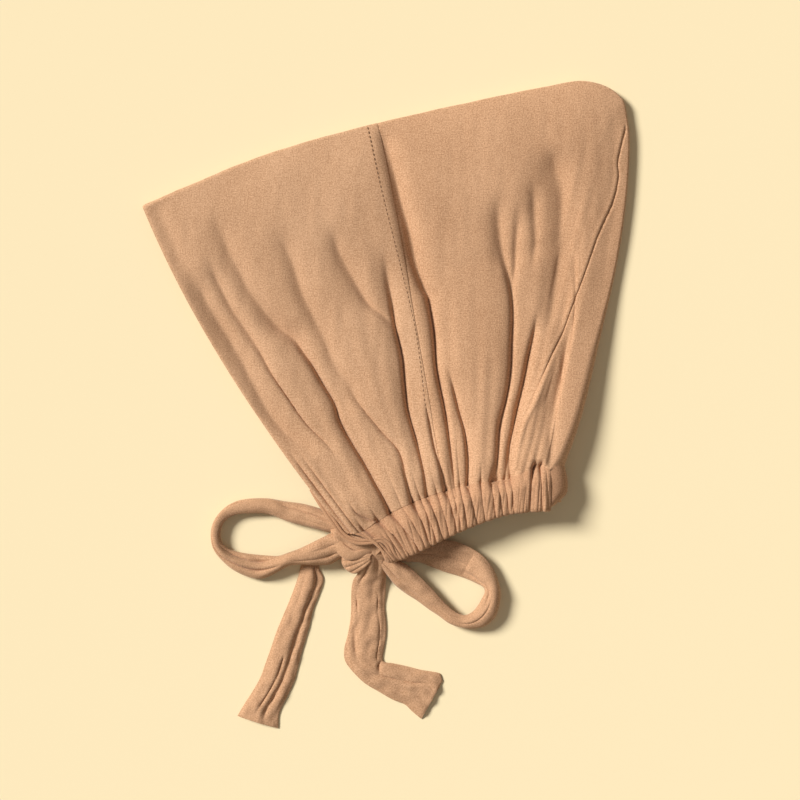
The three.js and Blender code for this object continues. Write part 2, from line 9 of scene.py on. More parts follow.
import bpy
import numpy as np
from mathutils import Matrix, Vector


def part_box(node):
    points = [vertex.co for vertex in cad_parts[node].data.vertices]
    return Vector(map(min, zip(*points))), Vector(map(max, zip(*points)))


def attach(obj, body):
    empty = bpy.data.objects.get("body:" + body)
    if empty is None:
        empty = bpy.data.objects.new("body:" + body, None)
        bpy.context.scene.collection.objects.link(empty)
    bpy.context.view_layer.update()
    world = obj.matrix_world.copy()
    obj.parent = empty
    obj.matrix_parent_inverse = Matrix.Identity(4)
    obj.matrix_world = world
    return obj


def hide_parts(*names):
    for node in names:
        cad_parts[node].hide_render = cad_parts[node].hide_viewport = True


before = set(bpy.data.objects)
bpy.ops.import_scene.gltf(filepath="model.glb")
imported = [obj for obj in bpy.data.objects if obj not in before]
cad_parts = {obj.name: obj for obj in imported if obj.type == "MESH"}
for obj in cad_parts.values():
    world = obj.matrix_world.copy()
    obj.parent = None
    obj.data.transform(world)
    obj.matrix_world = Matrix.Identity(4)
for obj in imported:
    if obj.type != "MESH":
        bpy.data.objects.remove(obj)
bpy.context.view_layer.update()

MM = 0.001
BODY = "root"

# Sizes of the cap as it lies, in millimetres, degrees and shares, begun from the solids
CAP_LENGTH = 303
CAP_HEIGHT = 298
BAND_WALL = 1.6
BAG_WALL = 1.2
SEAM_CLEARANCE = 0.3
SEAM_GAP = 0.3 * SEAM_CLEARANCE
TUCK = 1.2
TUCK_DROP = 0.5
HEM_SETBACK = 0.15
CROWN_FOLD = 2.6
FACE_LOFT = 10
BAG_LOFT = 12
BACK_LOFT = 9
HEM_LOFT = 17.2
EDGE_ROUND = 80
FRONT_LEAD = 80
BACK_LEAD = 25
FACE_LEAN = 40
BACK_LEAN = -25
SEAM_PLACE = 0.458
CORNER_PLACE = 0.82
FAR_FOLD_DEPTH = 1.6
CASING_WIDTH = 25
CASING_WALL = 1.2
CHANNEL_HALF = 1.7
RUFFLE_HEIGHT = 3.5
HEM_SAG = 1
INNER_RUFFLE_HEIGHT = 0.8
FAR_RUFFLES = 12
MOUTH_HOLLOW = 6
BACK_HEM_CURL = 8
TAPE_WIDTH = 20
TAPE_WALL = 1.5
TIE_DRAWN = 0.8
BOW_PLACE = (0.46, 0.002)  # middle of the knot, as shares of the length and height

front_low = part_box("front_panel")[0]
crown_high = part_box("crown_panel")[1]
CAP_CORNER = np.array([front_low.x / MM, crown_high.y / MM - CAP_HEIGHT, 0])
BOW_CORNER = CAP_CORNER + [BOW_PLACE[0] * CAP_LENGTH, BOW_PLACE[1] * CAP_HEIGHT, 0]


def table(columns, rows):
    """Columns by name, from rows of numbers."""
    return dict(zip(columns.split(), np.array(rows, float).T))


# Outline along the crown fold and down the back, from the face edge to the back of the neck
CROWN = table("at x y", [
    (0, 0, 0.738), (0.1, 0.1, 0.781), (0.2, 0.209, 0.827), (0.3, 0.315, 0.863),
    (0.46, 0.485, 0.909), (0.62, 0.714, 0.961), (0.7, 0.832, 0.985), (0.74, 0.898, 0.996),
    (0.78, 0.951, 0.986), (0.81, 0.986, 0.958), (0.83, 0.994, 0.927), (0.86, 1, 0.869),
    (0.89, 0.994, 0.754), (0.92, 0.975, 0.619), (0.95, 0.941, 0.463), (0.975, 0.904, 0.306),
    (1, 0.866, 0.194)])

# Stitch line of the casing, with the direction to the hem in degrees from straight down and the
# width of the casing there
NEAR_STITCH = table("at x y aim width", [
    (0, 0.419, 0.056, 57, 1.18), (0.08, 0.452, 0.06, 46, 1.04), (0.21, 0.511, 0.098, 25, 1.13),
    (0.37, 0.583, 0.131, 9, 1.15), (0.56, 0.667, 0.155, -4, 1.06), (0.75, 0.751, 0.169, -5, 0.87),
    (0.92, 0.812, 0.194, -3, 1.07), (1, 0.834, 0.188, 0, 0.99)])
FAR_STITCH = table("at x y aim width", [
    (0, 0.397, 0.094, 46, 1.05), (0.3, 0.538, 0.131, 14, 0.96), (0.62, 0.693, 0.167, -4, 0.9),
    (1, 0.834, 0.188, 0, 0.99)])

# Folds of the near layer: t is the way from the crown to the stitch line, s the place from the
# face to the back of the neck, deep in millimetres. steep and gentle are the widths of the
# slope towards the back and the slope towards the face.
FOLDS = {
    "beside_seam": (1.5, 3.6, [
        (0.01, 0.463, 0), (0.06, 0.464, 0.8), (0.12, 0.466, 1.3), (0.25, 0.469, 1.9),
        (0.36, 0.474, 2.7), (0.45, 0.479, 3.5), (0.52, 0.487, 4.2),
        (0.55, 0.495, 4.2), (0.65, 0.496, 4.2), (0.75, 0.495, 3.8), (0.85, 0.503, 3.4),
        (0.93, 0.505, 2.6), (1, 0.505, 2)]),
    "band_long": (1.7, 5, [
        (0.34, 0.42, 0), (0.42, 0.418, 0.6), (0.47, 0.415, 1.8), (0.52, 0.413, 3.2),
        (0.58, 0.409, 4.6),
        (0.66, 0.408, 5), (0.72, 0.398, 5), (0.78, 0.388, 5), (0.86, 0.39, 4.6),
        (0.93, 0.387, 3.6), (1, 0.375, 3)]),
    "band_short": (1.3, 3, [
        (0.76, 0.446, 0), (0.8, 0.446, 1.8), (0.86, 0.446, 2.4), (0.92, 0.449, 2.4),
        (1, 0.453, 2)]),
    "band_deep": (1.8, 6, [
        (0.08, 0.116, 0), (0.15, 0.1165, 0.7), (0.21, 0.117, 1.2), (0.32, 0.119, 1.5),
        (0.4, 0.131, 2.2), (0.45, 0.142, 3.4), (0.5, 0.164, 4.4), (0.56, 0.174, 4.4),
        (0.62, 0.182, 4.2), (0.69, 0.194, 4.2), (0.74, 0.187, 4.4), (0.8, 0.191, 4.6),
        (0.87, 0.202, 4.4), (0.95, 0.209, 3.6), (1, 0.208, 3)]),
    "band_middle": (3, 6, [
        (0.2, 0.213, 0), (0.31, 0.222, 1), (0.42, 0.219, 1.5), (0.51, 0.228, 1.6),
        (0.61, 0.234, 1.5), (0.68, 0.25, 1.2), (0.74, 0.253, 0)]),
    "band_slant": (2, 5, [
        (0.26, 0.317, 0), (0.38, 0.326, 1.4), (0.46, 0.342, 1.6), (0.52, 0.362, 1.8),
        (0.56, 0.39, 1.2), (0.6, 0.405, 0)]),
    "face_thin": (1.1, 2.6, [
        (0.18, 0.075, 0), (0.28, 0.073, 1), (0.37, 0.077, 1.4), (0.47, 0.087, 1.5),
        (0.56, 0.089, 1.4), (0.63, 0.096, 1.4), (0.7, 0.107, 1.2), (0.76, 0.126, 0.8),
        (0.8, 0.135, 0)]),
    "face_soft": (4, 6, [
        (0.2, 0.034, 0), (0.24, 0.034, 0.8), (0.35, 0.036, 1.6), (0.45, 0.04, 1.6),
        (0.55, 0.036, 1.6), (0.63, 0.034, 1.6), (0.68, 0.042, 1.4), (0.73, 0.06, 1),
        (0.78, 0.075, 0)]),
    "mouth_tuck": (1.3, 3, [
        (0.9, 0.1, 0), (0.92, 0.101, 1.4), (0.95, 0.104, 2), (0.98, 0.127, 2),
        (1, 0.149, 1.8)]),
    "band_low": (1.7, 4, [
        (0.66, 0.24, 0), (0.72, 0.255, 1.2), (0.8, 0.286, 1.3), (0.87, 0.322, 1.6),
        (0.93, 0.32, 2), (1, 0.306, 2)]),
    "bag_first": (1.6, 4, [
        (0.7, 0.52, 0), (0.74, 0.528, 1.6), (0.82, 0.547, 2.8), (0.88, 0.563, 3),
        (0.94, 0.57, 3), (1, 0.56, 2.4)]),
    "bag_long": (1.8, 5.5, [
        (0.34, 0.625, 0), (0.4, 0.632, 1), (0.5, 0.648, 1.8), (0.58, 0.67, 2.2),
        (0.66, 0.686, 2.8), (0.74, 0.695, 3.8), (0.82, 0.693, 3.8), (0.88, 0.686, 3.8),
        (0.94, 0.689, 3.2), (1, 0.687, 2.4)]),
    "bag_crease": (1.2, 2.5, [
        (0.38, 0.666, 0), (0.42, 0.668, 0.8), (0.54, 0.674, 0.9), (0.6, 0.68, 0)]),
    "bag_crease_upper": (1.2, 2.5, [
        (0.32, 0.69, 0), (0.36, 0.69, 0.7), (0.48, 0.705, 0.7), (0.55, 0.71, 0)]),
    "bag_soft": (4, 8, [
        (0.24, 0.705, 0), (0.3, 0.715, 1.2), (0.39, 0.74, 1.6), (0.48, 0.765, 1.6),
        (0.56, 0.79, 1.6), (0.64, 0.8, 1.2), (0.7, 0.8, 0)]),
    "beside_back_seam": (2, 5, [
        (0.62, 0.74, 0), (0.7, 0.743, 2.4), (0.79, 0.744, 4), (0.87, 0.737, 4),
        (0.93, 0.736, 3.4), (1, 0.752, 2.4)]),
}

# The seam down the back of the bag, which has rolled on to the near side
BACK_SEAM = table("at place", [
    (0, 0.845), (0.03, 0.849), (0.08, 0.879), (0.12, 0.89), (0.18, 0.896), (0.28, 0.898),
    (0.41, 0.898), (0.49, 0.896), (0.58, 0.881), (0.66, 0.865), (0.74, 0.845), (0.8, 0.81),
    (0.85, 0.771), (0.9, 0.758), (1, 0.77)])
TOPSTITCH = table("at place", [
    (0, 0.441), (0.25, 0.441), (0.45, 0.448), (0.6, 0.455), (0.7, 0.451), (0.79, 0.443),
    (0.85, 0.446)])

# Valleys between the ruffles of the casing, at its stitch line and at its hem
VALLEYS = table("top hem deep", [
    (0, 0, 0.3), (0.09, 0.13, 0.9), (0.155, 0.205, 1), (0.206, 0.28, 1.3), (0.262, 0.318, 0.6),
    (0.31, 0.35, 1.3), (0.345, 0.395, 0.8), (0.375, 0.43, 1.2), (0.42, 0.475, 0.8),
    (0.463, 0.522, 1.3),
    (0.49, 0.548, 0.6), (0.525, 0.575, 0.9), (0.562, 0.618, 1), (0.62, 0.655, 0.8),
    (0.667, 0.705, 1), (0.695, 0.735, 1.2), (0.73, 0.77, 1), (0.76, 0.795, 0.9),
    (0.885, 0.882, 1.25), (0.93, 0.955, 1), (0.972, 0.99, 0.7), (1, 1, 0.5)])


def mix(a, b, share):
    return a + (b - a) * share


def smooth(x, low, high):
    u = np.clip((x - low) / (high - low), 0, 1)
    return u * u * (3 - 2 * u)


def bump(distance, width):
    return np.exp(-((distance / width) ** 2))


def read(rows, column, at):
    """A smooth curve through one column of a table."""
    x, y = rows["at"], rows[column]
    at = np.asarray(at, float)
    ends = np.clip(np.arange(len(x))[:, None] + [-1, 1], 0, len(x) - 1)
    slope = (y[ends[:, 1]] - y[ends[:, 0]]) / (x[ends[:, 1]] - x[ends[:, 0]])
    k = np.clip(np.searchsorted(x, at) - 1, 0, len(x) - 2)
    span = x[k + 1] - x[k]
    u = np.clip((at - x[k]) / span, 0, 1)
    rise = (1 - u) ** 2 * u * slope[k] * span
    fall = u * u * (u - 1) * slope[k + 1] * span
    return mix(y[k], y[k + 1], u * u * (3 - 2 * u)) + rise + fall


def unit(v):
    return v / np.maximum(np.linalg.norm(v, axis=-1, keepdims=True), 1e-9)


def run_along(points):
    """Millimetres from the first of a row of points to each of them."""
    return np.concatenate([[0], np.cumsum(np.linalg.norm(np.diff(points, axis=0), axis=1))])


def ripples(x, y, longest, shortest, seed, stretch=1.0, waves=28):
    """Soft random waves, mostly between -1 and 1, stretched along y."""
    draw = np.random.default_rng(seed)
    total = np.zeros(np.broadcast(x, y).shape)
    for _ in range(waves):
        length = math.exp(draw.uniform(math.log(shortest), math.log(longest)))
        turn = draw.uniform(0, math.pi)
        phase = draw.uniform(0, 2 * math.pi)
        way = x * math.cos(turn) + y * math.sin(turn) / stretch
        total = total + np.sin(2 * math.pi * way / length + phase)
    return total / math.sqrt(waves)


# The cap in plan: s from the face edge to the back of the neck, t from the crown to the stitch line

def crown_point(s, rows=CROWN):
    return np.stack([read(rows, "x", s) * CAP_LENGTH, read(rows, "y", s) * CAP_HEIGHT], -1)


def stitch_point(s, far):
    return crown_point(s, FAR_STITCH if far else NEAR_STITCH)


def casing_drop(s, far):
    rows = FAR_STITCH if far else NEAR_STITCH
    aim = np.radians(read(rows, "aim", s))
    width = read(rows, "width", s) * CASING_WIDTH
    return np.stack([np.sin(aim) * width, -np.cos(aim) * width], -1)


def cap_length(s, far=False):
    return np.linalg.norm(crown_point(s) - stitch_point(s, far), axis=-1)


def plan_point(s, t, far):
    s, t = np.broadcast_arrays(np.asarray(s, float), np.asarray(t, float))
    step = 0.004 + 0.06 * bump(s - CORNER_PLACE, 0.09)
    crown, stitch = crown_point(s), stitch_point(s, far)
    along = unit(crown_point(np.minimum(s + step, 1)) - crown_point(np.maximum(s - step, 0)))
    inward = np.stack([along[..., 1], -along[..., 0]], -1)
    length = np.linalg.norm(crown - stitch, axis=-1)
    lean = np.radians(mix(FACE_LEAN, BACK_LEAN, s))
    upward = np.stack([-np.sin(lean), np.cos(lean)], -1)
    lead = np.minimum(mix(FRONT_LEAD, BACK_LEAD, np.minimum(1, s / 0.6)), length / 3)
    first = crown + inward * lead[..., None]
    second = stitch + upward * (length / 3)[..., None]
    t = t[..., None]
    return ((1 - t) ** 3 * crown + 3 * (1 - t) ** 2 * t * first
            + 3 * (1 - t) * t * t * second + t ** 3 * stitch)


def fold_radius(s):
    return mix(CROWN_FOLD, HEM_LOFT / 2, smooth(s, 0.92, 1))


# Where the loft changes, along the crown from the face and down to the stitch line
FACE_RISE = (0, 0.25)
BACK_FALL = (0.6, 0.88)
NAPE_RISE = (0.9, 1)
HEM_RISE = (0.6, 1)


def near_height(s, t, length, wall):
    folded = 2 * fold_radius(s)
    in_from_edge = np.minimum(1, t * np.maximum(1, length / EDGE_ROUND))
    rise = 1 - (1 - in_from_edge) ** 2
    middle = mix(FACE_LOFT, BAG_LOFT, smooth(s, *FACE_RISE))
    middle = mix(middle, BACK_LOFT, smooth(s, *BACK_FALL))
    middle = mix(middle, HEM_LOFT, smooth(s, *NAPE_RISE))
    loft = mix(middle, HEM_LOFT, smooth(t, *HEM_RISE))
    return wall / 2 + folded + (loft - folded) * rise


def valley(distance, steep, gentle, soft=0.2, crease=0.25, rise=2.2):
    """A fold at nought: the cloth slopes down to a crease, then rises slowly towards the back."""
    away = np.sqrt(distance ** 2 + soft ** 2) - soft
    slope = np.where(distance < 0, np.exp(-(away / gentle) ** 0.95), np.exp(-away / (rise * gentle)))
    return -(1 - crease) * slope - crease * np.exp(-(away / (0.75 * steep)) ** 1.6)


def across_scale(s, t):
    """Millimetres of plan for one step of s."""
    step = 0.002
    ahead = plan_point(np.minimum(s + step, 1), t, False)
    behind = plan_point(np.maximum(s - step, 0), t, False)
    return np.linalg.norm(ahead - behind, axis=-1) / (2 * step)


# How the gathers and folds of the near layer grow: places as shares, the rest in millimetres
PLEAT_TOP = 0.9
LAST_PLEAT = 0.78
LAST_PLEAT_TOP = 0.965
PLEAT_DEPTH = 3
PIT_DEPTH = 8
FOLD_GROW = 2.1
SOFT_GROW = 1.5
SOFT_FOLD = 2.5
GENTLE_SHARE = 0.8
DEEPEST = 10.5
HEM_SWELL = 3.2
BROAD_WAVES = 0.4
FINE_WAVES = 0.07
LOW_WAVES = 0.2
STREAKS = (0.1, 0.26)
FACE_DIP = 1.2

# Creases beside the face edge: height, distance from the edge and width
LIP_CREASES = ((0.7, 1.6, 1.4), (-1.6, 3.8, 0.9), (0.7, 6, 1.6), (-1.2, 9, 1.1))

# The back seam in plan, down from the crown
SEAM_PATH = np.array([
    (300.8, 270), (300.3, 266.3), (298, 257.6), (295.9, 248.7), (295.5, 245.2), (296.4, 237.9),
    (294.6, 227.8), (292.1, 219.8), (285.6, 206.1), (282.5, 198.7), (273.9, 173.8),
    (267.7, 157.7), (261.7, 140.9), (254.7, 127.3), (247.3, 110.4), (240.9, 95.4),
    (235.6, 84.7), (231.3, 70.8), (229.7, 58)])

# A soft hollow behind the seam, down to the casing
BACK_HOLLOW = np.array([
    (267, 129.7), (262.1, 119.8), (257.1, 106.2), (252.8, 92.5), (248.5, 81.3), (246, 73.9),
    (244.7, 61.5)])
HOLLOW_DEPTH = 1.2
HOLLOW_WIDTH = 4.6


def beside_path(points, path):
    """Distance from a line in plan, positive towards the back, and the way along it."""
    nearest = np.full(points.shape[:-1], 1e3)
    signed, along = nearest.copy(), np.zeros(nearest.shape)
    for k, (begin, end) in enumerate(zip(path[:-1], path[1:])):
        run = end - begin
        part = np.clip(((points - begin) @ run) / (run @ run), 0, 1)
        gap = points - begin - part[..., None] * run
        distance = np.hypot(gap[..., 0], gap[..., 1])
        side = np.sign(run[1] * gap[..., 0] - run[0] * gap[..., 1])
        closer = distance < nearest
        nearest = np.where(closer, distance, nearest)
        signed = np.where(closer, -side * distance, signed)
        along = np.where(closer, (k + part) / (len(path) - 1), along)
    return signed, along


def near_relief(s, t, length):
    """Folds, gathers, seams and small puckers of the near layer, up from its plain height."""
    scale = across_scale(s, t)
    plan = plan_point(s, t, False)
    x, y = plan[..., 0], plan[..., 1]
    relief = np.zeros(s.shape)
    for k, (steep, gentle, points) in enumerate(FOLDS.values()):
        rows = table("at place deep", points)
        inside = smooth(t, rows["at"][0] - 0.01, rows["at"][0] + 0.09)
        place = read(rows, "place", t)
        deep = np.maximum(read(rows, "deep", t), 0) * inside * (t <= rows["at"][-1] + 0.02)
        wander = 0.3 * ripples(x * 0, t * length, 60, 22, 11 + k)
        firm = smooth(t, 0.4, 0.62) * (1 if steep < SOFT_FOLD else 0.25)
        away = (s - place) * across_scale(place, t) + wander
        relief += FOLD_GROW * mix(SOFT_GROW, 1, firm) * deep * valley(
            away, steep, GENTLE_SHARE * gentle, mix(2.5, 0.2, firm), 0.5 * firm,
            mix(1.2, 2.2, firm))
    for k, (top, deep) in enumerate(zip(VALLEYS["top"], VALLEYS["deep"])):
        head = PLEAT_TOP + 0.05 * math.sin(7.3 * k) if top < LAST_PLEAT else LAST_PLEAT_TOP
        grow = smooth(t, head, 1)
        bend = 0.006 * math.sin(3.1 * k) * (1 - t) / 0.1
        relief += PLEAT_DEPTH * deep * grow * valley((s - top - bend) * scale, 0.9, 3)
        pit = PIT_DEPTH * max(deep - 0.6, 0) * bump((s - top) * scale, 1.3)
        relief -= pit * bump((1 - t) * length - 0.6, 2)
    relief = -DEEPEST * np.tanh(-relief / DEEPEST) - 0.1 * bump((1 - t) * length, 1.2)
    relief += HEM_SWELL * smooth(t, 0.84, 0.98) * smooth(s, 0.01, 0.06)
    seam = (s - read(BACK_SEAM, "place", t)) * scale
    beside, way = beside_path(plan, SEAM_PATH)
    sewn = smooth(way, 0, 0.06) * smooth(s, 0.7, 0.75)
    rolled = smooth(way, 0.66, 0.8)
    groove = mix(1.2, 0.6, rolled) * bump(beside, 0.5) - rolled * 0.9 * bump(beside - 1.7, 1.5)
    relief += sewn * (0.3 * bump(beside + 1.6, 1.4) - groove)
    relief += 1.6 * smooth(t, 0.7, 0.85) * bump(seam - 3, 4)
    beside, way = beside_path(plan, BACK_HOLLOW)
    hollow = HOLLOW_DEPTH * bump(beside, HOLLOW_WIDTH) * smooth(way, 0, 0.5)
    relief -= hollow * smooth(s, 0.8, 0.84)
    join = (s - SEAM_PLACE) * scale
    relief = relief - 0.15 * bump(join - 0.5, 0.8) + 0.2 * bump(join + 3.2, 2.6)
    broad = ripples(x, y, 90, 34, 3, stretch=2.4)
    fine = ripples(x, y, 13, 6, 5, stretch=3)
    relief += smooth(t, 0, 0.12) * (BROAD_WAVES * broad + FINE_WAVES * fine)
    relief += LOW_WAVES * smooth(t, 0.75, 1) * ripples(x, y, 16, 9, 8, stretch=3)
    streaks = ripples(s * CAP_LENGTH, t * length, 24, 10, 17, stretch=9)
    relief += mix(*STREAKS, smooth(t, 0.4, 0.9)) * smooth(t, 0.1, 0.4) * streaks
    edge = s * scale
    relief -= FACE_DIP * bump(edge - 8, 5) * smooth(t, 0, 0.04) * (1 - smooth(t, 0.2, 0.45))
    relief += smooth(t, 0.72, 0.85) * sum(
        height * bump(edge - place, width) for height, place, width in LIP_CREASES)
    return relief * (1 - smooth(s, 0.9, 0.99))


def far_relief(s, t, length):
    x, y = s * CAP_LENGTH, t * length
    lift = 0.5 + 0.5 * ripples(x, y, 60, 22, 21, stretch=2.5)
    return FAR_FOLD_DEPTH * np.clip(lift, 0, 1) * smooth(t, 0.1, 0.3) * (1 - smooth(t, 0.75, 0.9))


def thicken(sheet, wall, taper=None):
    """Both faces of a sheet of points, half a wall away from it, thinner where taper says."""
    across = np.gradient(sheet, axis=0)
    along = np.gradient(sheet, axis=1)
    normal = unit(np.cross(across, along))
    half = wall / 2 * (1 if taper is None else taper[..., None])
    faces = [sheet + normal * half, sheet - normal * half]
    for face in faces:
        face[..., 2] = np.maximum(face[..., 2], 0)
    return faces


RIM_ANGLE = 62  # degrees; edges sharper than this stay crisp


def placed(name, data):
    """A new object in the scene."""
    thing = bpy.data.objects.new(name, data)
    bpy.context.scene.collection.objects.link(thing)
    return thing


def cloth_mesh(name, points, faces, lay):
    """A smooth mesh from points in metres, with its cloth laid flat as its UV map."""
    mesh = bpy.data.meshes.new(name)
    mesh.from_pydata(points, [], faces)
    uv = mesh.uv_layers.new(name="cloth")
    corners = [corner for face in faces for corner in face]
    uv.data.foreach_set("uv", lay[corners].ravel())
    mesh.polygons.foreach_set("use_smooth", np.ones(len(mesh.polygons), bool))
    return mesh


def add_shell(name, sides, flat, corner=CAP_CORNER):
    """A closed piece from the two sides of a sheet, in millimetres from a corner."""
    rows, columns = sides[0].shape[:2]
    points = (np.concatenate([side.reshape(-1, 3) for side in sides]) + corner) * MM
    first = np.arange(rows * columns).reshape(rows, columns)
    second = first + rows * columns
    faces = np.concatenate([np.stack([end.ravel() for end in ends], -1) for ends in (
        (first[:-1, :-1], first[1:, :-1], first[1:, 1:], first[:-1, 1:]),
        (second[:-1, :-1], second[:-1, 1:], second[1:, 1:], second[1:, :-1]),
        (first[1:, 0], first[:-1, 0], second[:-1, 0], second[1:, 0]),
        (first[:-1, -1], first[1:, -1], second[1:, -1], second[:-1, -1]),
        (first[0, :-1], first[0, 1:], second[0, 1:], second[0, :-1]),
        (first[-1, 1:], first[-1, :-1], second[-1, :-1], second[-1, 1:]))])
    a, b, c, d = points[faces].transpose(1, 0, 2)
    normal = np.cross(b - a, c - a) + np.cross(c - a, d - a)
    if (normal * a).sum() < 0:
        faces = faces[:, ::-1]
    lay = np.concatenate([flat.reshape(-1, 2)] * 2) * MM
    mesh = cloth_mesh(name, points, faces.tolist(), lay)
    mesh.set_sharp_from_angle(angle=math.radians(RIM_ANGLE))
    mesh.validate()
    return placed(name, mesh)


# Panels: the band round the face and the bag behind it

NEAR_ROWS = 190
FAR_ROWS = 26
FOLD_TURNS = np.radians([75, 50, 25, 0, -25, -50, -75])[None, :]
MOST_INSET = 0.85
NECK_WEIGHT = 2.2
BAND_COLUMNS = 150
BAG_COLUMNS = 205
CROWN_WOBBLE = 0.12


def spread(weights, count):
    """Places from 0 to 1, closer together where the weights are high."""
    total = np.concatenate([[0], np.cumsum(weights)])
    at = np.linspace(0, 1, len(total))
    return np.interp(np.linspace(0, total[-1], count), total, at)


def round_fold(s, turn, wall, radius, length):
    """Plan round a fold: on the near layer where the turn is above nought, then on the far."""
    inset = np.minimum(radius, MOST_INSET * length)
    t = (wall / 2 + inset * (1 - np.cos(turn))) / length
    return np.where((turn < 0)[..., None], plan_point(s, t, True), plan_point(s, t, False))


def cap_panel(name, start, end, columns, wall):
    ways = np.linspace(start, end, 400)
    crown, stitch = crown_point(ways), stitch_point(ways, False)
    arc = np.linalg.norm(np.diff(crown, axis=0), axis=1)
    low_arc = np.linalg.norm(np.diff(stitch, axis=0), axis=1)
    s = mix(start, end, spread(arc + NECK_WEIGHT * low_arc, columns))[:, None]
    length = cap_length(s)
    radius = fold_radius(s)
    begin = (wall / 2 + np.minimum(radius, MOST_INSET * length)) / length
    finish = 1 - HEM_SETBACK / length

    drop = spread(1 + 1.2 * smooth(np.linspace(0, 1, 200), 0.82, 0.95), NEAR_ROWS)[None, ::-1]
    t = mix(begin, finish, drop)
    s_near = np.broadcast_to(s, t.shape)
    long_near = np.broadcast_to(length, t.shape)
    height = near_height(s_near, t - begin * (1 - drop), long_near, wall)
    near = plan_point(s_near, t, False)
    near_z = height + near_relief(s_near, t, long_near)
    beside = (s_near - SEAM_PLACE) * across_scale(s_near, t)
    near_z += (BAND_WALL - wall) / 2 * (1 - smooth(beside, 2, 10)) * (s_near >= SEAM_PLACE)

    fold = round_fold(s, FOLD_TURNS, wall, radius, length)
    fold_z = wall / 2 + radius * (1 + np.sin(FOLD_TURNS))
    wavy = CROWN_WOBBLE * ripples(s * 1.2 * CAP_LENGTH, FOLD_TURNS * 0, 40, 9, 31)
    fold[..., 1] += wavy * np.cos(FOLD_TURNS)

    t_far = mix(begin, finish, np.linspace(0, 1, FAR_ROWS)[None, :])
    far = plan_point(s, t_far, True)
    far_z = wall / 2 + far_relief(s, t_far, length)

    plan = np.concatenate([near, fold, far], 1)
    z = np.concatenate([near_z, fold_z, far_z], 1)
    sheet = np.dstack([plan, z])
    taper = np.ones(z.shape)
    if start == 0:
        from_edge = np.clip(s * across_scale(s, 0.5) / wall, 0.02, 1)
        taper *= np.sqrt(np.clip(1 - (1 - from_edge) ** 2, 0, 1))
    else:
        sheet[0] -= unit(sheet[1] - sheet[0]) * TUCK + [0, 0, TUCK_DROP]
    if end == SEAM_PLACE:
        sheet[-1] += unit(sheet[-2] - sheet[-1]) * SEAM_GAP
    flat = np.concatenate([near, fold, far + [0, CAP_HEIGHT]], 1)
    return add_shell(name, thicken(sheet, wall, taper), flat)


front_panel = cap_panel("face_band", 0, SEAM_PLACE, BAND_COLUMNS, BAND_WALL)
crown_panel = cap_panel("crown_bag", SEAM_PLACE, 1, BAG_COLUMNS, BAG_WALL)

# The casing round the neck and the tie inside it, with their columns on the near side, round
# the back and on the far side

CASING_COLUMNS = (420, 9, 150)
TAPE_COLUMNS = (90, 9, 40)
CASING_CREASE = 0.24
SCALLOP = 1.6
BACK_BULGE = 1.6
BACK_RUFFLE = 0.3
QUARTER_TURN = 1.57


def ruffle_wave(s, down):
    """How far the cloth stands up between the valleys, and the crest's width in s."""
    edges = mix(VALLEYS["top"][:, None, None], VALLEYS["hem"][:, None, None], down)
    k = np.clip((edges <= s).sum(0) - 1, 0, len(edges) - 2)
    pick = np.take_along_axis
    low = pick(edges, k[None], 0)[0]
    high = pick(edges, k[None] + 1, 0)[0]
    share = np.clip((s - low) / (high - low), 0, 1)
    deep = mix(VALLEYS["deep"][k], VALLEYS["deep"][k + 1], share)
    crest = np.sin(math.pi * share ** 0.85) ** 0.2
    return 1 - deep * (1 - crest), high - low, k


def leaf(s, down, far):
    """One leaf of the casing in plan: its places, its way down to the hem and its way aside."""
    at = stitch_point(s, far)
    drop = casing_drop(s, far)
    aside = unit(np.stack([-drop[..., 1], drop[..., 0]], -1))
    bow = MOUTH_HOLLOW * bump(s, 0.06) * 4 * down * (1 - down)
    reach = mix(SEAM_CLEARANCE / CASING_WIDTH * 0.1, 1, down)
    return at + drop * reach[..., None] + aside * bow[..., None], drop, aside


def ruffle_top(s, down):
    """The places on the stitch line that the ruffles lead back to."""
    top, hem = VALLEYS["top"], VALLEYS["hem"]
    leads = [np.interp(s[:, k], mix(top, hem, down[0, k]), top) for k in range(s.shape[1])]
    return np.stack(leads, 1)


def hem_sag(s, down):
    """How far the near leaf sinks towards the hem, away from its two ends."""
    return HEM_SAG * smooth(down, 0.02, 1) * smooth(s, 0.02, 0.12) * (1 - smooth(s, 0.9, 0.98))


# Rows of the casing round its channel: the way down to the hem, the side of the channel from 1
# above to -1 below, and how much of the ruffles shows
CASING_ROWS = [
    (-0.05, 0.75, 0), (-0.006, 0.95, 0.02), (0.006, 1, 0.04), (0.03, 1, 0.1), (0.06, 1, 0.2),
    (0.1, 1, 0.32), (0.15, 1, 0.47), (0.21, 1, 0.64), (0.28, 1, 0.82), (0.34, 1, 0.94),
    (0.4, 1, 1), (0.48, 1, 1), (0.56, 1, 1), (0.64, 1, 1), (0.72, 1, 1), (0.8, 1, 0.99),
    (0.87, 0.99, 0.97), (0.93, 0.95, 0.94), (0.97, 0.84, 0.9),
    (0.993, 0.6, 0.84), (1, 0.3, 0.78), (1, 0, 0.7), (0.995, -0.35, 0.6), (0.975, -0.7, 0.5),
    (0.93, -0.92, 0.6), (0.8, -1, 0.9), (0.6, -1, 1), (0.4, -1, 1), (0.2, -1, 0.6),
    (0.02, -1, 0.2)]


def neck_ring(columns, turns, far_columns):
    """Places round the mouth: near side, round the back of the neck, far side."""
    s = np.linspace(0, 1, columns)
    far_s = np.linspace(1, 0, far_columns)
    length = cap_length(s)
    near_z = near_height(s, np.ones(columns), length, BAG_WALL)
    angles = np.radians(np.linspace(90, -90, turns + 2)[1:-1])
    return s, far_s, near_z, angles


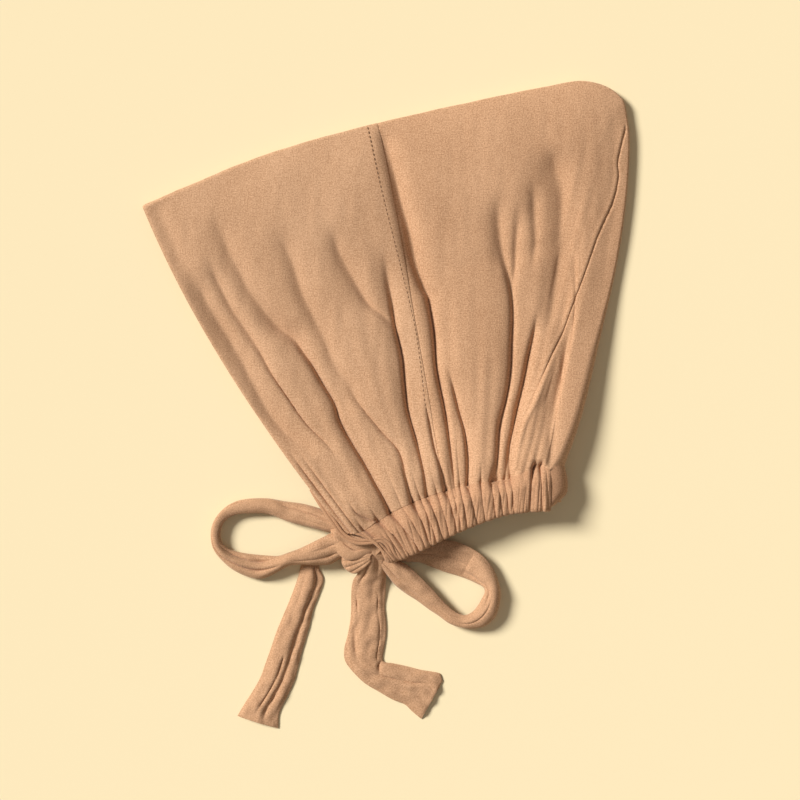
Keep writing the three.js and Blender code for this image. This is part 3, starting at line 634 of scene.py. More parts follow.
def casing_surface(rows):
    s, far_s, near_z, angles = neck_ring(*CASING_COLUMNS)
    down, side, puff = (np.array(c, float)[None, :] for c in zip(*rows))
    grid_s = np.broadcast_to(s[:, None], (len(s), len(rows)))
    grid_down = np.broadcast_to(down, grid_s.shape)
    wave, gap, k = ruffle_wave(grid_s, grid_down)
    plan, drop, _ = leaf(grid_s, grid_down, False)
    width = gap * across_scale(grid_s, np.ones(grid_s.shape))
    uneven = np.random.default_rng(43).uniform(0.75, 1.2, len(VALLEYS["top"]))
    amount = np.minimum(RUFFLE_HEIGHT, 0.7 * width + 1) * uneven[k]
    outer = side > -0.5
    crease = CASING_CREASE * ripples(grid_s * 480, grid_down * 25, 12, 4, 41, stretch=4)
    ruffle = np.where(outer, amount * wave + crease * smooth(grid_down, 0.1, 0.5),
                      -INNER_RUFFLE_HEIGHT * wave) * puff
    led = ruffle_top(grid_s, down)
    length = cap_length(led)
    dip = near_relief(led, 1 - HEM_SETBACK / length, length)
    dip = dip * (1 - smooth(grid_down, 0, 0.4)) * (side > 0)
    z = near_z[:, None] + CHANNEL_HALF * (side - 1) + ruffle + dip - hem_sag(grid_s, grid_down)
    scallop = (grid_down > 0.9) * SCALLOP * (wave - 0.6) * smooth(grid_down, 0.9, 1)
    plan = plan + unit(drop) * scallop[..., None]
    near = np.dstack([plan, z])

    radius = HEM_LOFT / 2
    turn = angles[:, None]
    back = round_fold(1.0, turn, BAG_WALL, radius, cap_length(1.0))
    last_drop = casing_drop(1.0, False)
    back_aside = unit(np.array([-last_drop[1], last_drop[0]]))
    bulge = BACK_BULGE * np.sin(math.pi * np.clip(down, 0, 1))
    bulge -= BACK_HEM_CURL * smooth(down, 0.62, 1.1)
    lift = BAG_WALL / 2 + radius * (1 + np.sin(turn))
    puffed = RUFFLE_HEIGHT * BACK_RUFFLE * outer * puff
    spin = CHANNEL_HALF * (side - 1) + puffed * (turn + QUARTER_TURN) / (2 * QUARTER_TURN)
    ring = back + last_drop * down[..., None]
    ring += back_aside * ((spin + bulge) * np.cos(turn))[..., None]
    around = np.dstack([ring, lift + spin * np.sin(turn)])

    far_plan = leaf(far_s[:, None], down, True)[0]
    far_wave = 0.5 - 0.5 * np.cos(far_s[:, None] * math.pi * 2 * FAR_RUFFLES)
    far_z = BAG_WALL / 2 - CHANNEL_HALF * (side - 1) + np.where(
        outer, 0, INNER_RUFFLE_HEIGHT * far_wave * puff)
    far = np.dstack([far_plan, far_z])
    sheet = np.concatenate([near, around, far], 0)
    arc = run_along(sheet[:, 3])
    cut = np.cumsum(np.abs(np.diff(down[0], prepend=0))) * CASING_WIDTH
    flat = np.stack(np.broadcast_arrays(arc[:, None], cut[None, :]), -1)
    return sheet, flat


casing_sheet, casing_flat = casing_surface(CASING_ROWS)
casing = add_shell("casing_ruffle", thicken(casing_sheet, CASING_WALL), casing_flat)

TAPE_LINES = 7
TAPE_ENDS = (10.5, 3)  # heights at which the tie goes into the knot
TIED_HALF = 3


def neck_tape():
    """The hidden stretch of the tie, in the middle of the channel and into the knot."""
    half = TIE_DRAWN * TAPE_WIDTH / CASING_WIDTH / 2
    s, far_s, near_z, angles = neck_ring(*TAPE_COLUMNS)
    lines = np.linspace(-1, 1, TAPE_LINES)
    down = 0.5 + lines[None, :] * half
    near_z = (near_z - CHANNEL_HALF)[:, None] - hem_sag(s[:, None], down)
    near = np.dstack([leaf(s[:, None], down, False)[0], near_z])
    radius = HEM_LOFT / 2 - CHANNEL_HALF
    back, _, aside = leaf(np.ones_like(down), down, False)
    turn = angles[:, None]
    ring = back + aside * (radius * np.cos(turn))[..., None]
    lift = np.broadcast_to(BAG_WALL / 2 + HEM_LOFT / 2 + radius * np.sin(turn), ring.shape[:2])
    around = np.dstack([ring, lift])
    far_plan = leaf(far_s[:, None], down, True)[0]
    far = np.dstack([far_plan, np.full(far_plan.shape[:2], BAG_WALL / 2 + CHANNEL_HALF)])
    sheet = np.concatenate([near, around, far], 0)
    knot = BOW_CORNER - CAP_CORNER
    first, last = (
        knot + [0, 0, height] + unit(side[-1] - side[0]) * lines[:, None] * TIED_HALF
        for side, height in zip((sheet[0], sheet[-1]), TAPE_ENDS))
    joins = [np.stack([mix(first, sheet[0], w) for w in (0, 0.33, 0.66)]),
             np.stack([mix(sheet[-1], last, w) for w in (0.33, 0.66, 1)])]
    sheet = np.concatenate([joins[0], sheet, joins[1]], 0)
    across = np.linspace(0, TAPE_WIDTH, TAPE_LINES)
    flat = np.stack(np.broadcast_arrays(across[None, :], run_along(sheet[:, 3])[:, None]), -1)
    return add_shell("neck_tape", thicken(sheet, TAPE_WALL), flat)


tie_inside = neck_tape()

# The bow: each tape between its two edges, in millimetres from the middle of the knot. The a
# edge is the outer one of a loop and the left one of a tail, with the height of both edges.
EDGES = "at ax ay bx by az bz"
LEFT_LOOP = [
    (-17.4, 26, -17.4, 15.5, 7, 7), (-27.3, 30.4, -26, 17.1, 5.5, 6.5),
    (-38.4, 33.5, -37.8, 20.1, 3.5, 5), (-49.6, 35, -48.4, 22.6, 1.5, 4),
    (-60.8, 36.6, -60.8, 27.3, 0.5, 4), (-70.7, 36.3, -70.7, 27.6, 0, 4.5),
    (-79.4, 34.7, -78.7, 27.3, 0, 5), (-86.2, 31.3, -84.3, 25.4, 0, 5),
    (-91.5, 26, -88, 22, 0.5, 5), (-94.5, 19.8, -89.9, 17.7, 1, 5),
    (-95.6, 13, -90.2, 13, 1.5, 4.5), (-94.2, 5.9, -89.3, 9.3, 2, 4),
    (-90.5, -0.6, -86.2, 6.2, 2, 3), (-84.3, -6.5, -81.8, 4.2, 2.5, 2),
    (-76.3, -10.8, -75.6, 2.8, 3, 1.5), (-67.6, -13, -68.2, 1.9, 3.5, 2),
    (-60.8, -11.7, -60.8, 1.4, 4, 3), (-53.9, -8.1, -53.9, 1.4, 5, 4.5),
    (-47.7, -4.7, -47.1, 3.7, 6, 6), (-39.7, -3.7, -40.3, 6.5, 6.5, 8),
    (-31, -4.3, -32.9, 10.2, 6.5, 9.5), (-22.9, -4, -26, 13.6, 7, 10.5),
    (-16.7, -0.9, -19.8, 16.1, 7, 11), (-11.8, 1.9, -14.3, 13, 7, 9)]
RIGHT_LOOP = [
    (11.8, 9.3, 10.6, -1.2, 6, 6), (19.8, 9.3, 18.6, -1.2, 6, 5), (28.5, 9, 26, -2.5, 6, 3.5),
    (37.8, 10.2, 33.5, -3.1, 6, 2), (46.5, 11.2, 40.9, -5.9, 6.5, 1),
    (55.8, 10.2, 49, -9, 7, 0.5), (64.5, 6.8, 56.4, -11.2, 7, 0),
    (71.9, 1.9, 63.2, -13.6, 6.5, 0.5), (77.5, -4.3, 68.8, -16.1, 5.5, 1.5),
    (81.5, -11.8, 73.2, -18.6, 4.5, 3), (83.7, -20.5, 73.8, -21.4, 4, 4),
    (83.1, -29.1, 71.9, -25.4, 4, 4), (80, -37.2, 69.4, -29.8, 4, 4),
    (73.8, -42.5, 66, -33.5, 3.5, 4.5), (65.7, -43.7, 62, -35.3, 2.5, 5),
    (57.7, -42.2, 57.7, -34.4, 1.5, 5.5), (49.6, -38.4, 52.7, -31.3, 1, 6),
    (40.9, -32.9, 47.1, -25.7, 0.5, 6), (32.2, -27, 40.3, -18.3, 0.5, 6.5),
    (23.6, -21.7, 32.9, -10.8, 1.5, 7.5), (17.4, -16.4, 26, -4.3, 3, 8),
    (11.2, -8.1, 19.2, -0.6, 4.6, 6.6), (5.6, -2.4, 13.2, 4, 4.6, 6)]
LEFT_TAIL = [
    (-18, 3.5, -14, 10, 1.5, 2.5), (-33.5, 0, -22.3, 5, 0.2, 1), (-39.1, -2.5, -27.3, 0, 0, 0.5),
    (-41.2, -7.4, -29.1, -6.2, 0, 0), (-43.1, -14.3, -26.7, -13.6, 0, 0),
    (-46.5, -23.6, -29.1, -22.3, 0, 0), (-50.8, -34.1, -32.9, -32.2, 0, 0),
    (-55.2, -44.6, -35.6, -43.4, 0, 0), (-58.9, -55.2, -39.1, -55.2, 0, 0),
    (-62.6, -65.7, -42.2, -67, 0, 0), (-66.3, -75.6, -45, -77.5, 0, 0),
    (-71.3, -84.3, -49.6, -87.4, 0, 0), (-76.3, -92.1, -54.2, -97.3, 0, 0),
    (-80.3, -98.9, -54.9, -106.6, 0, 0)]
RIGHT_TAIL = [
    (-2.5, 6, 8, 10, 9, 8), (-4.5, 2.5, 11.5, 6, 12, 9), (-4.8, -1.5, 13.5, 1.5, 11.6, 8.6),
    (-4.6, -5.5, 13.3, -3.5, 9.6, 7.2), (-5.2, -9.5, 12.7, -8, 6, 5), (-7.8, -13.5, 12.4, -13, 3, 3),
    (-8.9, -18, 12.3, -18, 1.2, 1.4), (-9.3, -24, 12, -24, 0.2, 0.4), (-9.3, -31, 11.5, -31, 0, 0),
    (-9.9, -39.7, 12.4, -40.3, 0, 0), (-11.5, -48.4, 12.4, -48.4, 0, 0),
    (-13.6, -57, 11.2, -56.4, 0.5, 0), (-13, -64.5, 10.2, -62.6, 1, 0),
    (-8.1, -71.3, 11.2, -65.1, 1.5, 0.4), (-0.6, -78.4, 16.7, -66, 1.5, 0.4),
    (8.1, -83.7, 25.4, -67.9, 1, 0), (16.7, -88.7, 34.1, -70.1, 0.6, 0),
    (24.2, -91.8, 41.5, -71.3, 0, 0), (28.8, -96.1, 45.9, -72.5, 0, 0),
    (34.4, -100.8, 47.7, -76.9, 0, 0)]

# Creases along a tape, one in a row: where it starts and ends along the tape, where it starts
# and ends across it, its depth in millimetres and its width. All but the depth are shares.
LEFT_LOOP_CREASES = [
    (0, 0.22, 0.45, 0.3, 1.6, 0.09), (0.02, 0.16, 0.75, 0.7, 0.7, 0.08),
    (0.3, 0.76, 0.34, 0.36, 3, 0.08), (0.5, 0.76, 0.8, 0.66, 3, 0.14),
    (0.64, 0.78, 0.6, 0.9, 1.2, 0.08), (0.8, 1, 0.35, 0.3, 1, 0.05),
    (0.86, 1, 0.65, 0.6, 0.9, 0.05)]
RIGHT_LOOP_CREASES = [
    (0.05, 0.4, 0.45, 0.55, 0.9, 0.06), (0.28, 0.52, 0.8, 0.7, 1.5, 0.1),
    (0.45, 0.8, 0.5, 0.6, 0.8, 0.05), (0.56, 0.7, 0.85, 0.8, 1.2, 0.1),
    (0.75, 1, 0.35, 0.4, 0.9, 0.06)]
LEFT_TAIL_CREASES = [
    (0.1, 1, 0.8, 0.62, 2.6, 0.1), (0.12, 0.3, 0.72, 0.85, 2, 0.07),
    (0.62, 0.97, 0.5, 0.42, 1.6, 0.045), (0.2, 0.5, 0.3, 0.35, 0.5, 0.1)]
RIGHT_TAIL_CREASES = [
    (0, 0.2, 0.3, 0.24, 1.6, 0.06), (0.02, 0.16, 0.62, 0.7, 0.7, 0.07),
    (0.2, 0.62, 0.76, 0.86, 0.8, 0.02), (0.24, 0.36, 0.16, 0.2, 1.6, 0.05),
    (0.4, 0.58, 0.1, 0.34, 1.9, 0.09), (0.48, 0.54, 0.2, 0.6, 0.9, 0.07),
    (0.6, 0.7, 1, 0.5, 2.8, 0.07), (0.66, 0.88, 0.42, 0.6, 1.3, 0.05),
    (0.82, 0.96, 0.55, 0.72, 0.7, 0.03)]

STANDING_INSET = 1  # how far a tape on its edge is drawn in
CRUMPLE = 0.22      # how much of the cloth left over in width stands up along a loop


def tape(name, edges, creases, run=220, around=26, puff=1.0, thick=TAPE_WALL, seed=1,
         wavy=0.35, pleats=None, crumple=0.0):
    """A pressed tube of cloth between two edges, with creases along it."""
    rows = np.array(edges, float)
    steps = run_along((rows[:, :2] + rows[:, 2:4]) / 2)
    rows = table(EDGES, np.column_stack([steps / steps[-1], rows]))
    at = np.linspace(0, 1, run)
    a, b = (np.stack([read(rows, side + axis, at) for axis in "xyz"], -1) for side in "ab")
    level = np.linalg.norm((b - a)[:, :2], axis=1) / np.maximum(np.linalg.norm(b - a, axis=1), 1)
    lie = (0.08 + thick / 2 * level)[:, None]
    drawn = unit(b - a) * [1, 1, 0] * (STANDING_INSET * (1 - level))[:, None]
    a, b = a + drawn, b - drawn
    for edge in (a, b):
        edge[:, 2:] = np.maximum(edge[:, 2:], 0) + lie
    v = (0.5 - 0.5 * np.cos(np.linspace(0, math.pi, around)))[None, :]
    sheet = a[:, None] + (b - a)[:, None] * v[..., None]
    along = unit(np.gradient(a + b, axis=0))
    normal = unit(np.cross(along, b - a))
    normal *= np.sign(normal[:, 2:] + 1e-9)
    wide = np.linalg.norm(b - a, axis=1)[:, None]
    spare = crumple * np.sqrt(np.maximum(TAPE_WIDTH ** 2 - wide ** 2, 0))
    relief = puff * (1 - (2 * v - 1) ** 2) * np.minimum(1, wide / TAPE_WIDTH + 0.3)
    relief = (relief + spare * (1 - np.abs(2 * v - 1) ** 2.5)) * level[:, None]
    u = at[:, None]
    for start, end, low, high, deep, width in creases:
        way = np.clip((u - start) / (end - start), 0, 1)
        grow = smooth(u, start, start + 0.06) * (1 - smooth(u, end - 0.06, end + 0.02))
        d = v - mix(low, high, way) - 0.008 * ripples(u * 100, u * 0, 30, 9, seed + 3)
        relief -= deep * grow * (0.6 * bump(d, width) + 0.4 * np.exp(-np.abs(d) / width * 2))
    relief += wavy * ripples(u * steps[-1], v * wide, 26, 8, seed, stretch=0.7)
    if pleats is not None:
        relief += pleats(u, v)
    fade = np.minimum(1, np.minimum(v, 1 - v) * 8)
    sheet = sheet + normal[:, None] * (relief * fade)[..., None]
    sheet[..., 2] = np.maximum(sheet[..., 2], lie)
    half = np.clip(1 - np.abs(2 * v - 1) ** 8, 0, 1) ** 0.5
    ends = np.clip(np.minimum(u, 1 - u) * steps[-1] / 1.2, 0.15, 1) ** 0.5
    taper = np.clip(half, 0.12, 1) * ends
    flat = np.stack(np.broadcast_arrays(v * TAPE_WIDTH, u * steps[-1]), -1)
    return add_shell(name, thicken(sheet, thick, taper), flat, corner=BOW_CORNER)


left_loop = tape("left_loop_tape", LEFT_LOOP, LEFT_LOOP_CREASES, run=300, around=36, seed=51,
                 crumple=CRUMPLE)
right_loop = tape("right_loop_tape", RIGHT_LOOP, RIGHT_LOOP_CREASES, run=280, around=36, seed=52,
                  crumple=CRUMPLE)
left_tail = tape("left_tail_tape", LEFT_TAIL, LEFT_TAIL_CREASES, puff=2.4, around=40, seed=53)
right_tail = tape("right_tail_tape", RIGHT_TAIL, RIGHT_TAIL_CREASES, puff=2, around=40, seed=54)

# The knot: a band wrapped over a pleated fan and the mouth of the casing, with the rolled face
# edge beside it, all as rows like those of the bow
ROLL_CREASE = [(0, 1, 0.5, 0.5, 0.9, 0.14)]
KNOT_BAND = [
    (-22, 21, -15.5, 18, 8, 10), (-21.5, 15, -14.5, 13, 9.5, 12), (-20, 8.5, -13, 9.5, 10.5, 13.5),
    (-16.5, 2.5, -10.5, 7.5, 11.5, 14.5), (-11, -0.5, -7, 5.5, 12.5, 15),
    (-4.5, 0, -3, 6, 13, 15), (2, 2.5, 2.5, 8, 12.5, 13.5), (7, 4.5, 8, 9.5, 10.5, 11)]
KNOT_FAN = [
    (4, 3, -12, 6, 14, 10), (3.5, 2.5, -14.5, 1.5, 14.5, 9), (3, 2, -15, -2.5, 14.5, 8.5),
    (3, 1, -13, -6.5, 14.5, 7.5), (3, 0, -9.5, -9, 14, 7), (3.5, -1.5, -5, -9.5, 13.5, 7)]
KNOT_MOUTH = [
    (-19, 21, -20, 8, 14.5, 8), (-14, 17, -16, 4, 15.5, 9), (-8.5, 15, -11, 0, 16, 10),
    (-1, 13.5, -2, -2, 16.5, 10), (7, 12.5, 7, -2, 16.5, 10), (13, 9, 13, -1, 15, 9.5)]
MOUTH_ROLL = [
    (-34.8, 42.4, -32, 44.6, 12, 12.6), (-29.4, 33.7, -26.6, 36.2, 15.2, 15.8),
    (-21, 21.9, -18.2, 24.3, 17.6, 18), (-13.9, 13, -11.9, 16.2, 18.2, 18.6),
    (-5.3, 9.3, -4.5, 13.1, 19.2, 19.6), (3.8, 9.6, 3.6, 13.3, 20, 20.4),
    (9, 10.6, 9.8, 14.1, 20.2, 20.6), (12.4, 8.2, 15.3, 10.9, 20, 20.4),
    (15.4, 2.8, 18.5, 5, 19, 19.4), (18.4, -1.4, 21.6, 0.4, 17.2, 17.6)]


def fan_pleats(u, v):
    return 0.9 * np.abs(np.sin(math.pi * (u * 5 + 0.2 * v))) * v ** 0.6 - 0.4


knot_band = tape("knot_band", KNOT_BAND, [], run=90, puff=1.4, seed=61, wavy=0.12)
knot_mouth = tape("knot_mouth", KNOT_MOUTH, [], run=90, puff=0.6, seed=64, wavy=0.5)
knot_fan = tape("knot_fan", KNOT_FAN, [], run=90, around=40, puff=1.0, seed=62, wavy=0.1,
                pleats=fan_pleats)
mouth_roll = tape("mouth_roll", MOUTH_ROLL, ROLL_CREASE, run=160, around=16, puff=0.9, thick=1,
                  seed=65, wavy=0.1)

KNOT_CORE = (12.5, 6.5, 5.8)  # half sizes along x, y and z
knot_low, knot_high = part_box("bow_knot")


def core_of_knot():
    """The cloth wound inside the knot, seen only in its hollows."""
    turn = np.linspace(0, 2 * math.pi, 48)[:, None]
    rise = np.linspace(-math.pi / 2 + 0.05, math.pi / 2 - 0.05, 26)[None, :]
    wound = 1 + 0.05 * np.cos(turn * 5 + rise * 2)
    x = KNOT_CORE[0] * np.cos(rise) * np.cos(turn) * wound
    y = KNOT_CORE[1] * np.cos(rise) * np.sin(turn) * wound
    z = KNOT_CORE[2] * np.sin(rise) + KNOT_CORE[2] + 0.3 + 0 * turn
    points = np.stack(np.broadcast_arrays(x, y, z), -1)
    rows, columns = points.shape[:2]
    corner = np.array([(knot_low.x + knot_high.x) / 2, (knot_low.y + knot_high.y) / 2, 0]) / MM
    index = np.arange((rows - 1) * columns).reshape(rows - 1, columns)
    after = np.roll(index, -1, axis=0)
    quads = np.stack([index[:, :-1], after[:, :-1], after[:, 1:], index[:, 1:]], -1).reshape(-1, 4)
    faces = quads.tolist() + [index[:, -1].tolist(), index[::-1, 0].tolist()]
    lay = np.stack(np.broadcast_arrays(turn[:-1] * 10, rise * 8), -1).reshape(-1, 2) * MM
    points = (points[:-1].reshape(-1, 3) + corner) * MM
    return placed("knot_core", cloth_mesh("knot_core", points, faces, lay))


knot_core = core_of_knot()

# Helpers for node trees


def set_inputs(node, values):
    for name, value in values.items():
        node.inputs[name].default_value = value


def node_group(kind, name, sockets):
    """A node group with sockets of its own: way, kind, name and first value of each."""
    tree = bpy.data.node_groups.new(name, kind)
    for way, sort, label, value in sockets:
        socket = tree.interface.new_socket(label, in_out=way, socket_type="NodeSocket" + sort)
        if value is not None:
            socket.default_value = value
    return tree


def maths(tree, operation, *values):
    """The result of a maths node fed with numbers and with outputs of other nodes."""
    node = tree.nodes.new("ShaderNodeMath")
    node.operation = operation
    for socket, value in zip(node.inputs, values):
        if isinstance(value, (int, float)):
            socket.default_value = value
        else:
            tree.links.new(value, socket)
    return node.outputs[0]


# Topstitching along the seam behind the band, as a node tree that lays threads along a line

STITCH_PITCH = 2.9
STITCH_LENGTH = 2.0
STITCH_RADIUS = 0.28
STITCH_WOBBLE = 0.09
STITCH_SEED = 5


def stitch_tree():
    tree = node_group("GeometryNodeTree", "row_of_stitches", [
        ("INPUT", "Geometry", "Line", None), ("INPUT", "Float", "Pitch", 0.003),
        ("INPUT", "Float", "Thread Length", 0.002), ("INPUT", "Float", "Thread Radius", 0.0003),
        ("INPUT", "Float", "Unevenness", 0.1), ("INPUT", "Int", "Seed", 7),
        ("INPUT", "Material", "Thread", None), ("OUTPUT", "Geometry", "Stitches", None)])
    new, link = tree.nodes.new, tree.links.new
    given, result = new("NodeGroupInput"), new("NodeGroupOutput")
    line = new("GeometryNodeMeshToCurve")
    points = new("GeometryNodeCurveToPoints")
    points.mode = "LENGTH"
    thread = new("GeometryNodeMeshUVSphere")
    set_inputs(thread, {"Segments": 8, "Rings": 6, "Radius": 1})
    size = new("ShaderNodeCombineXYZ")
    shape = new("GeometryNodeTransform")
    align = new("FunctionNodeAlignRotationToVector")
    align.axis = "X"
    wobble = new("FunctionNodeRandomValue")
    wobble.data_type = "FLOAT_VECTOR"
    turn = new("FunctionNodeRotateRotation")
    lower = new("ShaderNodeVectorMath")
    lower.operation = "SCALE"
    set_inputs(lower, {"Scale": -1})
    most = new("ShaderNodeCombineXYZ")
    as_turn = new("FunctionNodeEulerToRotation")
    place = new("GeometryNodeInstanceOnPoints")
    real = new("GeometryNodeRealizeInstances")
    shade = new("GeometryNodeSetMaterial")
    link(maths(tree, "MULTIPLY", given.outputs["Thread Length"], 0.5), size.inputs["X"])
    for source, output, target, socket in (
            (given, "Line", line, 0), (line, 0, points, "Curve"),
            (given, "Pitch", points, "Length"), (given, "Thread Radius", size, "Y"),
            (given, "Thread Radius", size, "Z"), (thread, "Mesh", shape, "Geometry"),
            (size, 0, shape, "Scale"), (points, "Tangent", align, "Vector"),
            (given, "Unevenness", most, "X"), (given, "Unevenness", most, "Y"),
            (given, "Unevenness", most, "Z"), (most, 0, wobble, "Max"), (most, 0, lower, 0),
            (lower, 0, wobble, "Min"), (given, "Seed", wobble, "Seed"),
            (wobble, "Value", as_turn, 0), (align, "Rotation", turn, "Rotation"),
            (as_turn, 0, turn, "Rotate By"), (points, "Points", place, "Points"),
            (shape, 0, place, "Instance"), (turn, 0, place, "Rotation"), (place, 0, real, 0),
            (real, 0, shade, "Geometry"), (given, "Thread", shade, "Material"),
            (shade, 0, result, "Stitches")):
        link(source.outputs[output], target.inputs[socket])
    return tree


STITCHES = stitch_tree()


def row_of_stitches(name, line, material):
    """Threads laid along a line of points, in millimetres from the corner of the cap."""
    mesh = bpy.data.meshes.new(name + "_line")
    points = (line + CAP_CORNER) * MM
    mesh.from_pydata(points, [(k, k + 1) for k in range(len(points) - 1)], [])
    guide = placed(name + "_line", mesh)
    modifier = guide.modifiers.new("stitches", "NODES")
    modifier.node_group = STITCHES
    values = {"Pitch": STITCH_PITCH * MM, "Thread Length": STITCH_LENGTH * MM,
              "Thread Radius": STITCH_RADIUS * MM, "Unevenness": STITCH_WOBBLE,
              "Seed": STITCH_SEED, "Thread": material}
    for item in STITCHES.interface.items_tree:
        if item.item_type == "SOCKET" and item.name in values:
            modifier[item.identifier] = values[item.name]
    bpy.context.view_layer.update()
    shown = guide.evaluated_get(bpy.context.evaluated_depsgraph_get())
    made = bpy.data.meshes.new_from_object(shown)
    made.name = name
    guide.modifiers.remove(modifier)
    bpy.data.objects.remove(guide)
    made.polygons.foreach_set("use_smooth", np.ones(len(made.polygons), bool))
    return placed(name, made)


# Materials


def weave_group():
    """Threads of a plain weave with uneven yarn: a height, and a tone round one half."""
    group = node_group("ShaderNodeTree", "plain_weave", [
        ("INPUT", "Vector", "Cloth", None), ("INPUT", "Float", "Thread Width", 0.0006),
        ("INPUT", "Float", "Slub", 0.5), ("OUTPUT", "Float", "Height", None),
        ("OUTPUT", "Float", "Tone", None)])
    new, link = group.nodes.new, group.links.new
    given, result = new("NodeGroupInput"), new("NodeGroupOutput")
    slub = given.outputs["Slub"]

    def yarn(stretch, shift):
        """Noise drawn out along the threads of one direction."""
        mapping = new("ShaderNodeMapping")
        set_inputs(mapping, {"Scale": stretch, "Location": shift})
        link(given.outputs["Cloth"], mapping.inputs["Vector"])
        texture = new("ShaderNodeTexNoise")
        set_inputs(texture, {"Scale": 1, "Detail": 3, "Roughness": 0.6})
        link(mapping.outputs[0], texture.inputs["Vector"])
        return texture.outputs["Fac"]

    parts = new("ShaderNodeSeparateXYZ")
    link(given.outputs["Cloth"], parts.inputs[0])
    turns = maths(group, "DIVIDE", math.pi, given.outputs["Thread Width"])
    warp, weft = (maths(group, "SINE", maths(group, "MULTIPLY", parts.outputs[axis], turns))
                  for axis in "XY")
    weave = maths(group, "MULTIPLY_ADD", maths(group, "MULTIPLY", warp, weft), 0.5, 0.5)
    yarns = maths(group, "ADD", yarn((1500, 160, 1), (0, 0, 0)), yarn((160, 1500, 1), (3, 5, 0)))
    grain = yarn((1200, 1200, 1), (7, 2, 0))
    uneven = maths(group, "MULTIPLY", yarns, 0.5)
    slubs, fine = (maths(group, "MULTIPLY", maths(group, "SUBTRACT", noise, 0.5), slub)
                   for noise in (uneven, grain))
    rough = maths(group, "ADD", slubs, fine)
    link(maths(group, "ADD", maths(group, "MULTIPLY", weave, 0.5), rough),
         result.inputs["Height"])
    link(maths(group, "ADD", maths(group, "ADD", 0.5, slubs), maths(group, "MULTIPLY", fine, 1.8)),
         result.inputs["Tone"])
    return group


WEAVE = weave_group()


def painted(name, values):
    """A new material and its surface, with these values."""
    material = bpy.data.materials.new(name)
    material.use_nodes = True
    surface = material.node_tree.nodes["Principled BSDF"]
    set_inputs(surface, values)
    return material, surface


def cloth(name, shade, light, slub=0.95, depth=0.12):
    """Plain-woven cloth: the dark and light of its yarn, and how deep its weave is in mm."""
    material, surface = painted(name, {
        "Specular IOR Level": 0.25, "Sheen Weight": 0.25, "Sheen Roughness": 0.5,
        "Sheen Tint": (1, 0.9, 0.78, 1)})
    tree = material.node_tree
    new, link = tree.nodes.new, tree.links.new
    where = new("ShaderNodeTexCoord")
    weave = new("ShaderNodeGroup")
    weave.node_tree = WEAVE
    set_inputs(weave, {"Slub": slub})
    link(where.outputs["UV"], weave.inputs["Cloth"])
    clouds = new("ShaderNodeTexNoise")
    set_inputs(clouds, {"Scale": 24, "Detail": 3})
    link(where.outputs["Object"], clouds.inputs["Vector"])
    ramp = new("ShaderNodeValToRGB")
    for stop, position, colour in zip(ramp.color_ramp.elements, (0.25, 0.75), (shade, light)):
        stop.position = position
        stop.color = (*colour, 1)
    tone = weave.outputs["Tone"]
    eased = maths(tree, "MULTIPLY_ADD", tone, 0.9, -0.125)
    link(maths(tree, "MULTIPLY_ADD", clouds.outputs["Fac"], 0.35, eased), ramp.inputs["Fac"])
    link(ramp.outputs["Color"], surface.inputs["Base Color"])
    link(maths(tree, "MULTIPLY_ADD", tone, -0.12, 0.94), surface.inputs["Roughness"])
    raised = new("ShaderNodeBump")
    set_inputs(raised, {"Strength": 0.55, "Distance": depth * MM})
    link(weave.outputs["Height"], raised.inputs["Height"])
    link(raised.outputs["Normal"], surface.inputs["Normal"])
    return material


CLOTHS = {name: cloth(name, shade, light) for name, shade, light in (
    ("band_cloth", (0.39, 0.212, 0.109), (0.642, 0.394, 0.234)),
    ("bag_cloth", (0.394, 0.208, 0.105), (0.66, 0.397, 0.231)),
    # The casing cloth is the bag's cloth made darker: painted shade standing in for the shaded
    # ruffles and pits of the casing. The rolled face edge by the knot wears it too.
    ("casing_cloth", (0.345, 0.175, 0.087), (0.557, 0.317, 0.18)),
    ("tape_cloth", (0.38, 0.205, 0.105), (0.62, 0.37, 0.215)))}
THREAD = cloth("sewing_thread", (0.2, 0.11, 0.06), (0.3, 0.17, 0.09), slub=0.3, depth=0.05)

# The topstitching runs from just below the crown to a little above the casing
STITCHED = (0.015, 0.86)
LINE_POINTS = 240


def line_on_cap(rows, count, wall, low, high):
    """Points along a seam line on top of the near layer."""
    t = np.linspace(low, high, count)[:, None]
    s = read(rows, "place", t)
    length = cap_length(s)
    plan = plan_point(s, t, False)
    z = near_height(s, t, length, wall) + near_relief(s, t, length) + wall / 2
    return np.dstack([plan, z])[:, 0]


topstitch = row_of_stitches(
    "topstitching", line_on_cap(TOPSTITCH, LINE_POINTS, BAND_WALL, *STITCHED), THREAD)

# The studio: pale floor, soft key light from the upper left, fill from above, camera overhead

FLOOR_HALF = 3
floor_mesh = bpy.data.meshes.new("studio_floor")
floor_mesh.from_pydata([(-FLOOR_HALF, -FLOOR_HALF, 0), (FLOOR_HALF, -FLOOR_HALF, 0),
                        (FLOOR_HALF, FLOOR_HALF, 0), (-FLOOR_HALF, FLOOR_HALF, 0)],
                       [], [(0, 1, 2, 3)])
floor = placed("studio_floor", floor_mesh)
floor_mesh.materials.append(painted("floor_paint", {
    "Base Color": (0.89, 0.765, 0.5, 1), "Roughness": 0.95, "Specular IOR Level": 0.1})[0])

LIGHT_COLOUR = (1, 0.98, 0.95)
KEY_STRENGTH = 4.7
KEY_SOFTNESS = 0.32
KEY_DIRECTION = (1.6, -0.8, -1.3)
FILL_PLACE = (0.4, -0.5, 1.9)
FILL_SIZE = 1.6
FILL_STRENGTH = 2


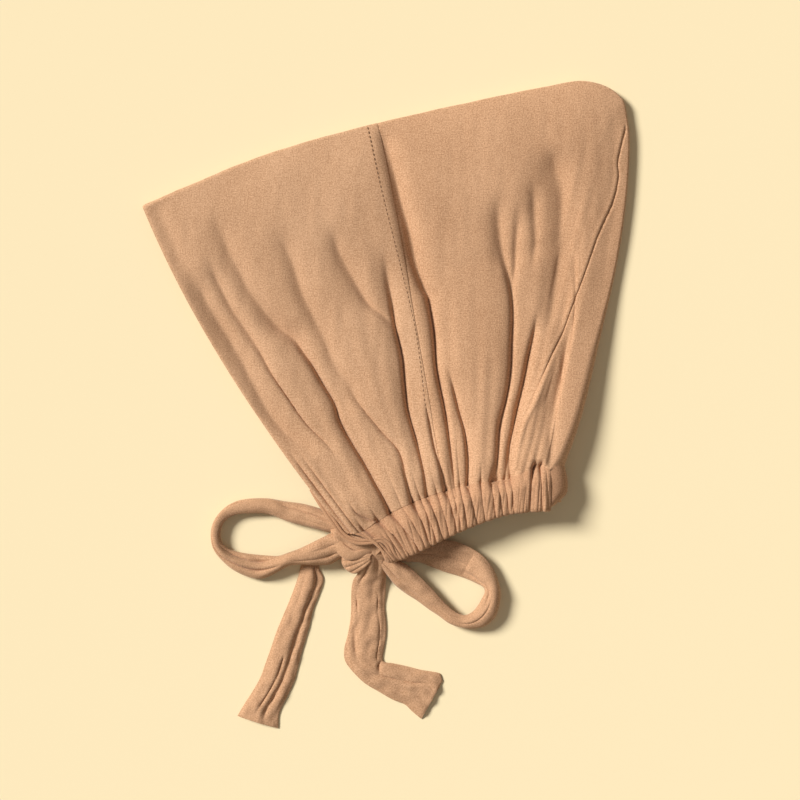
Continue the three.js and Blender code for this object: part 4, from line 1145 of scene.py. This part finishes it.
def add_lamp(light, place, direction):
    light.color = LIGHT_COLOUR
    lamp = placed(light.name, light)
    lamp.location = place
    lamp.rotation_mode = "QUATERNION"
    lamp.rotation_quaternion = Vector(direction).to_track_quat("-Z", "Y")


key = bpy.data.lights.new("key_light", "SUN")
key.energy = KEY_STRENGTH
key.angle = KEY_SOFTNESS
add_lamp(key, (0, 0, 0), KEY_DIRECTION)
fill = bpy.data.lights.new("fill_light", "AREA")
fill.shape = "DISK"
fill.size = FILL_SIZE
fill.energy = FILL_STRENGTH
add_lamp(fill, FILL_PLACE, -Vector(FILL_PLACE))

world = bpy.data.worlds.new("studio_light")
world.use_nodes = True
set_inputs(world.node_tree.nodes["Background"], {"Color": (1, 0.88, 0.78, 1), "Strength": 0.2})
bpy.context.scene.world = world
bpy.context.scene.view_settings.view_transform = "Standard"

# The camera looks straight down, as in the photograph
PHOTO_WIDTH = 0.496
PHOTO_CENTRE = (0.0089, 0.0036)
LENS = 85
SENSOR = 36
CAP_MIDDLE_HEIGHT = 0.008
camera_data = bpy.data.cameras.new("camera")
camera_data.lens = LENS
camera_data.sensor_width = SENSOR
camera = placed("camera", camera_data)
camera.location = (*PHOTO_CENTRE, PHOTO_WIDTH * LENS / SENSOR + CAP_MIDDLE_HEIGHT)
bpy.context.scene.camera = camera

# What each piece rides on, stands for and is made of. The stitches already have their thread.

# The casing and the rolled face edge get the darker casing cloth, whose colours hold painted shade.
for piece, node, slot in (
        (front_panel, "front_panel", "band_cloth"), (crown_panel, "crown_panel", "bag_cloth"),
        (casing, "neck_casing", "casing_cloth"), (tie_inside, "neck_tie", "tape_cloth"),
        (left_loop, "left_loop", "tape_cloth"), (right_loop, "right_loop", "tape_cloth"),
        (left_tail, "left_tail", "tape_cloth"), (right_tail, "right_tail", "tape_cloth"),
        (knot_core, "bow_knot", "tape_cloth"), (knot_band, None, "tape_cloth"),
        (knot_mouth, None, "tape_cloth"), (knot_fan, None, "tape_cloth"),
        (mouth_roll, None, "casing_cloth"), (topstitch, None, "band_cloth")):
    if not piece.data.materials:
        piece.data.materials.append(CLOTHS[slot])
    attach(piece, BODY)
    if node:
        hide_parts(node)
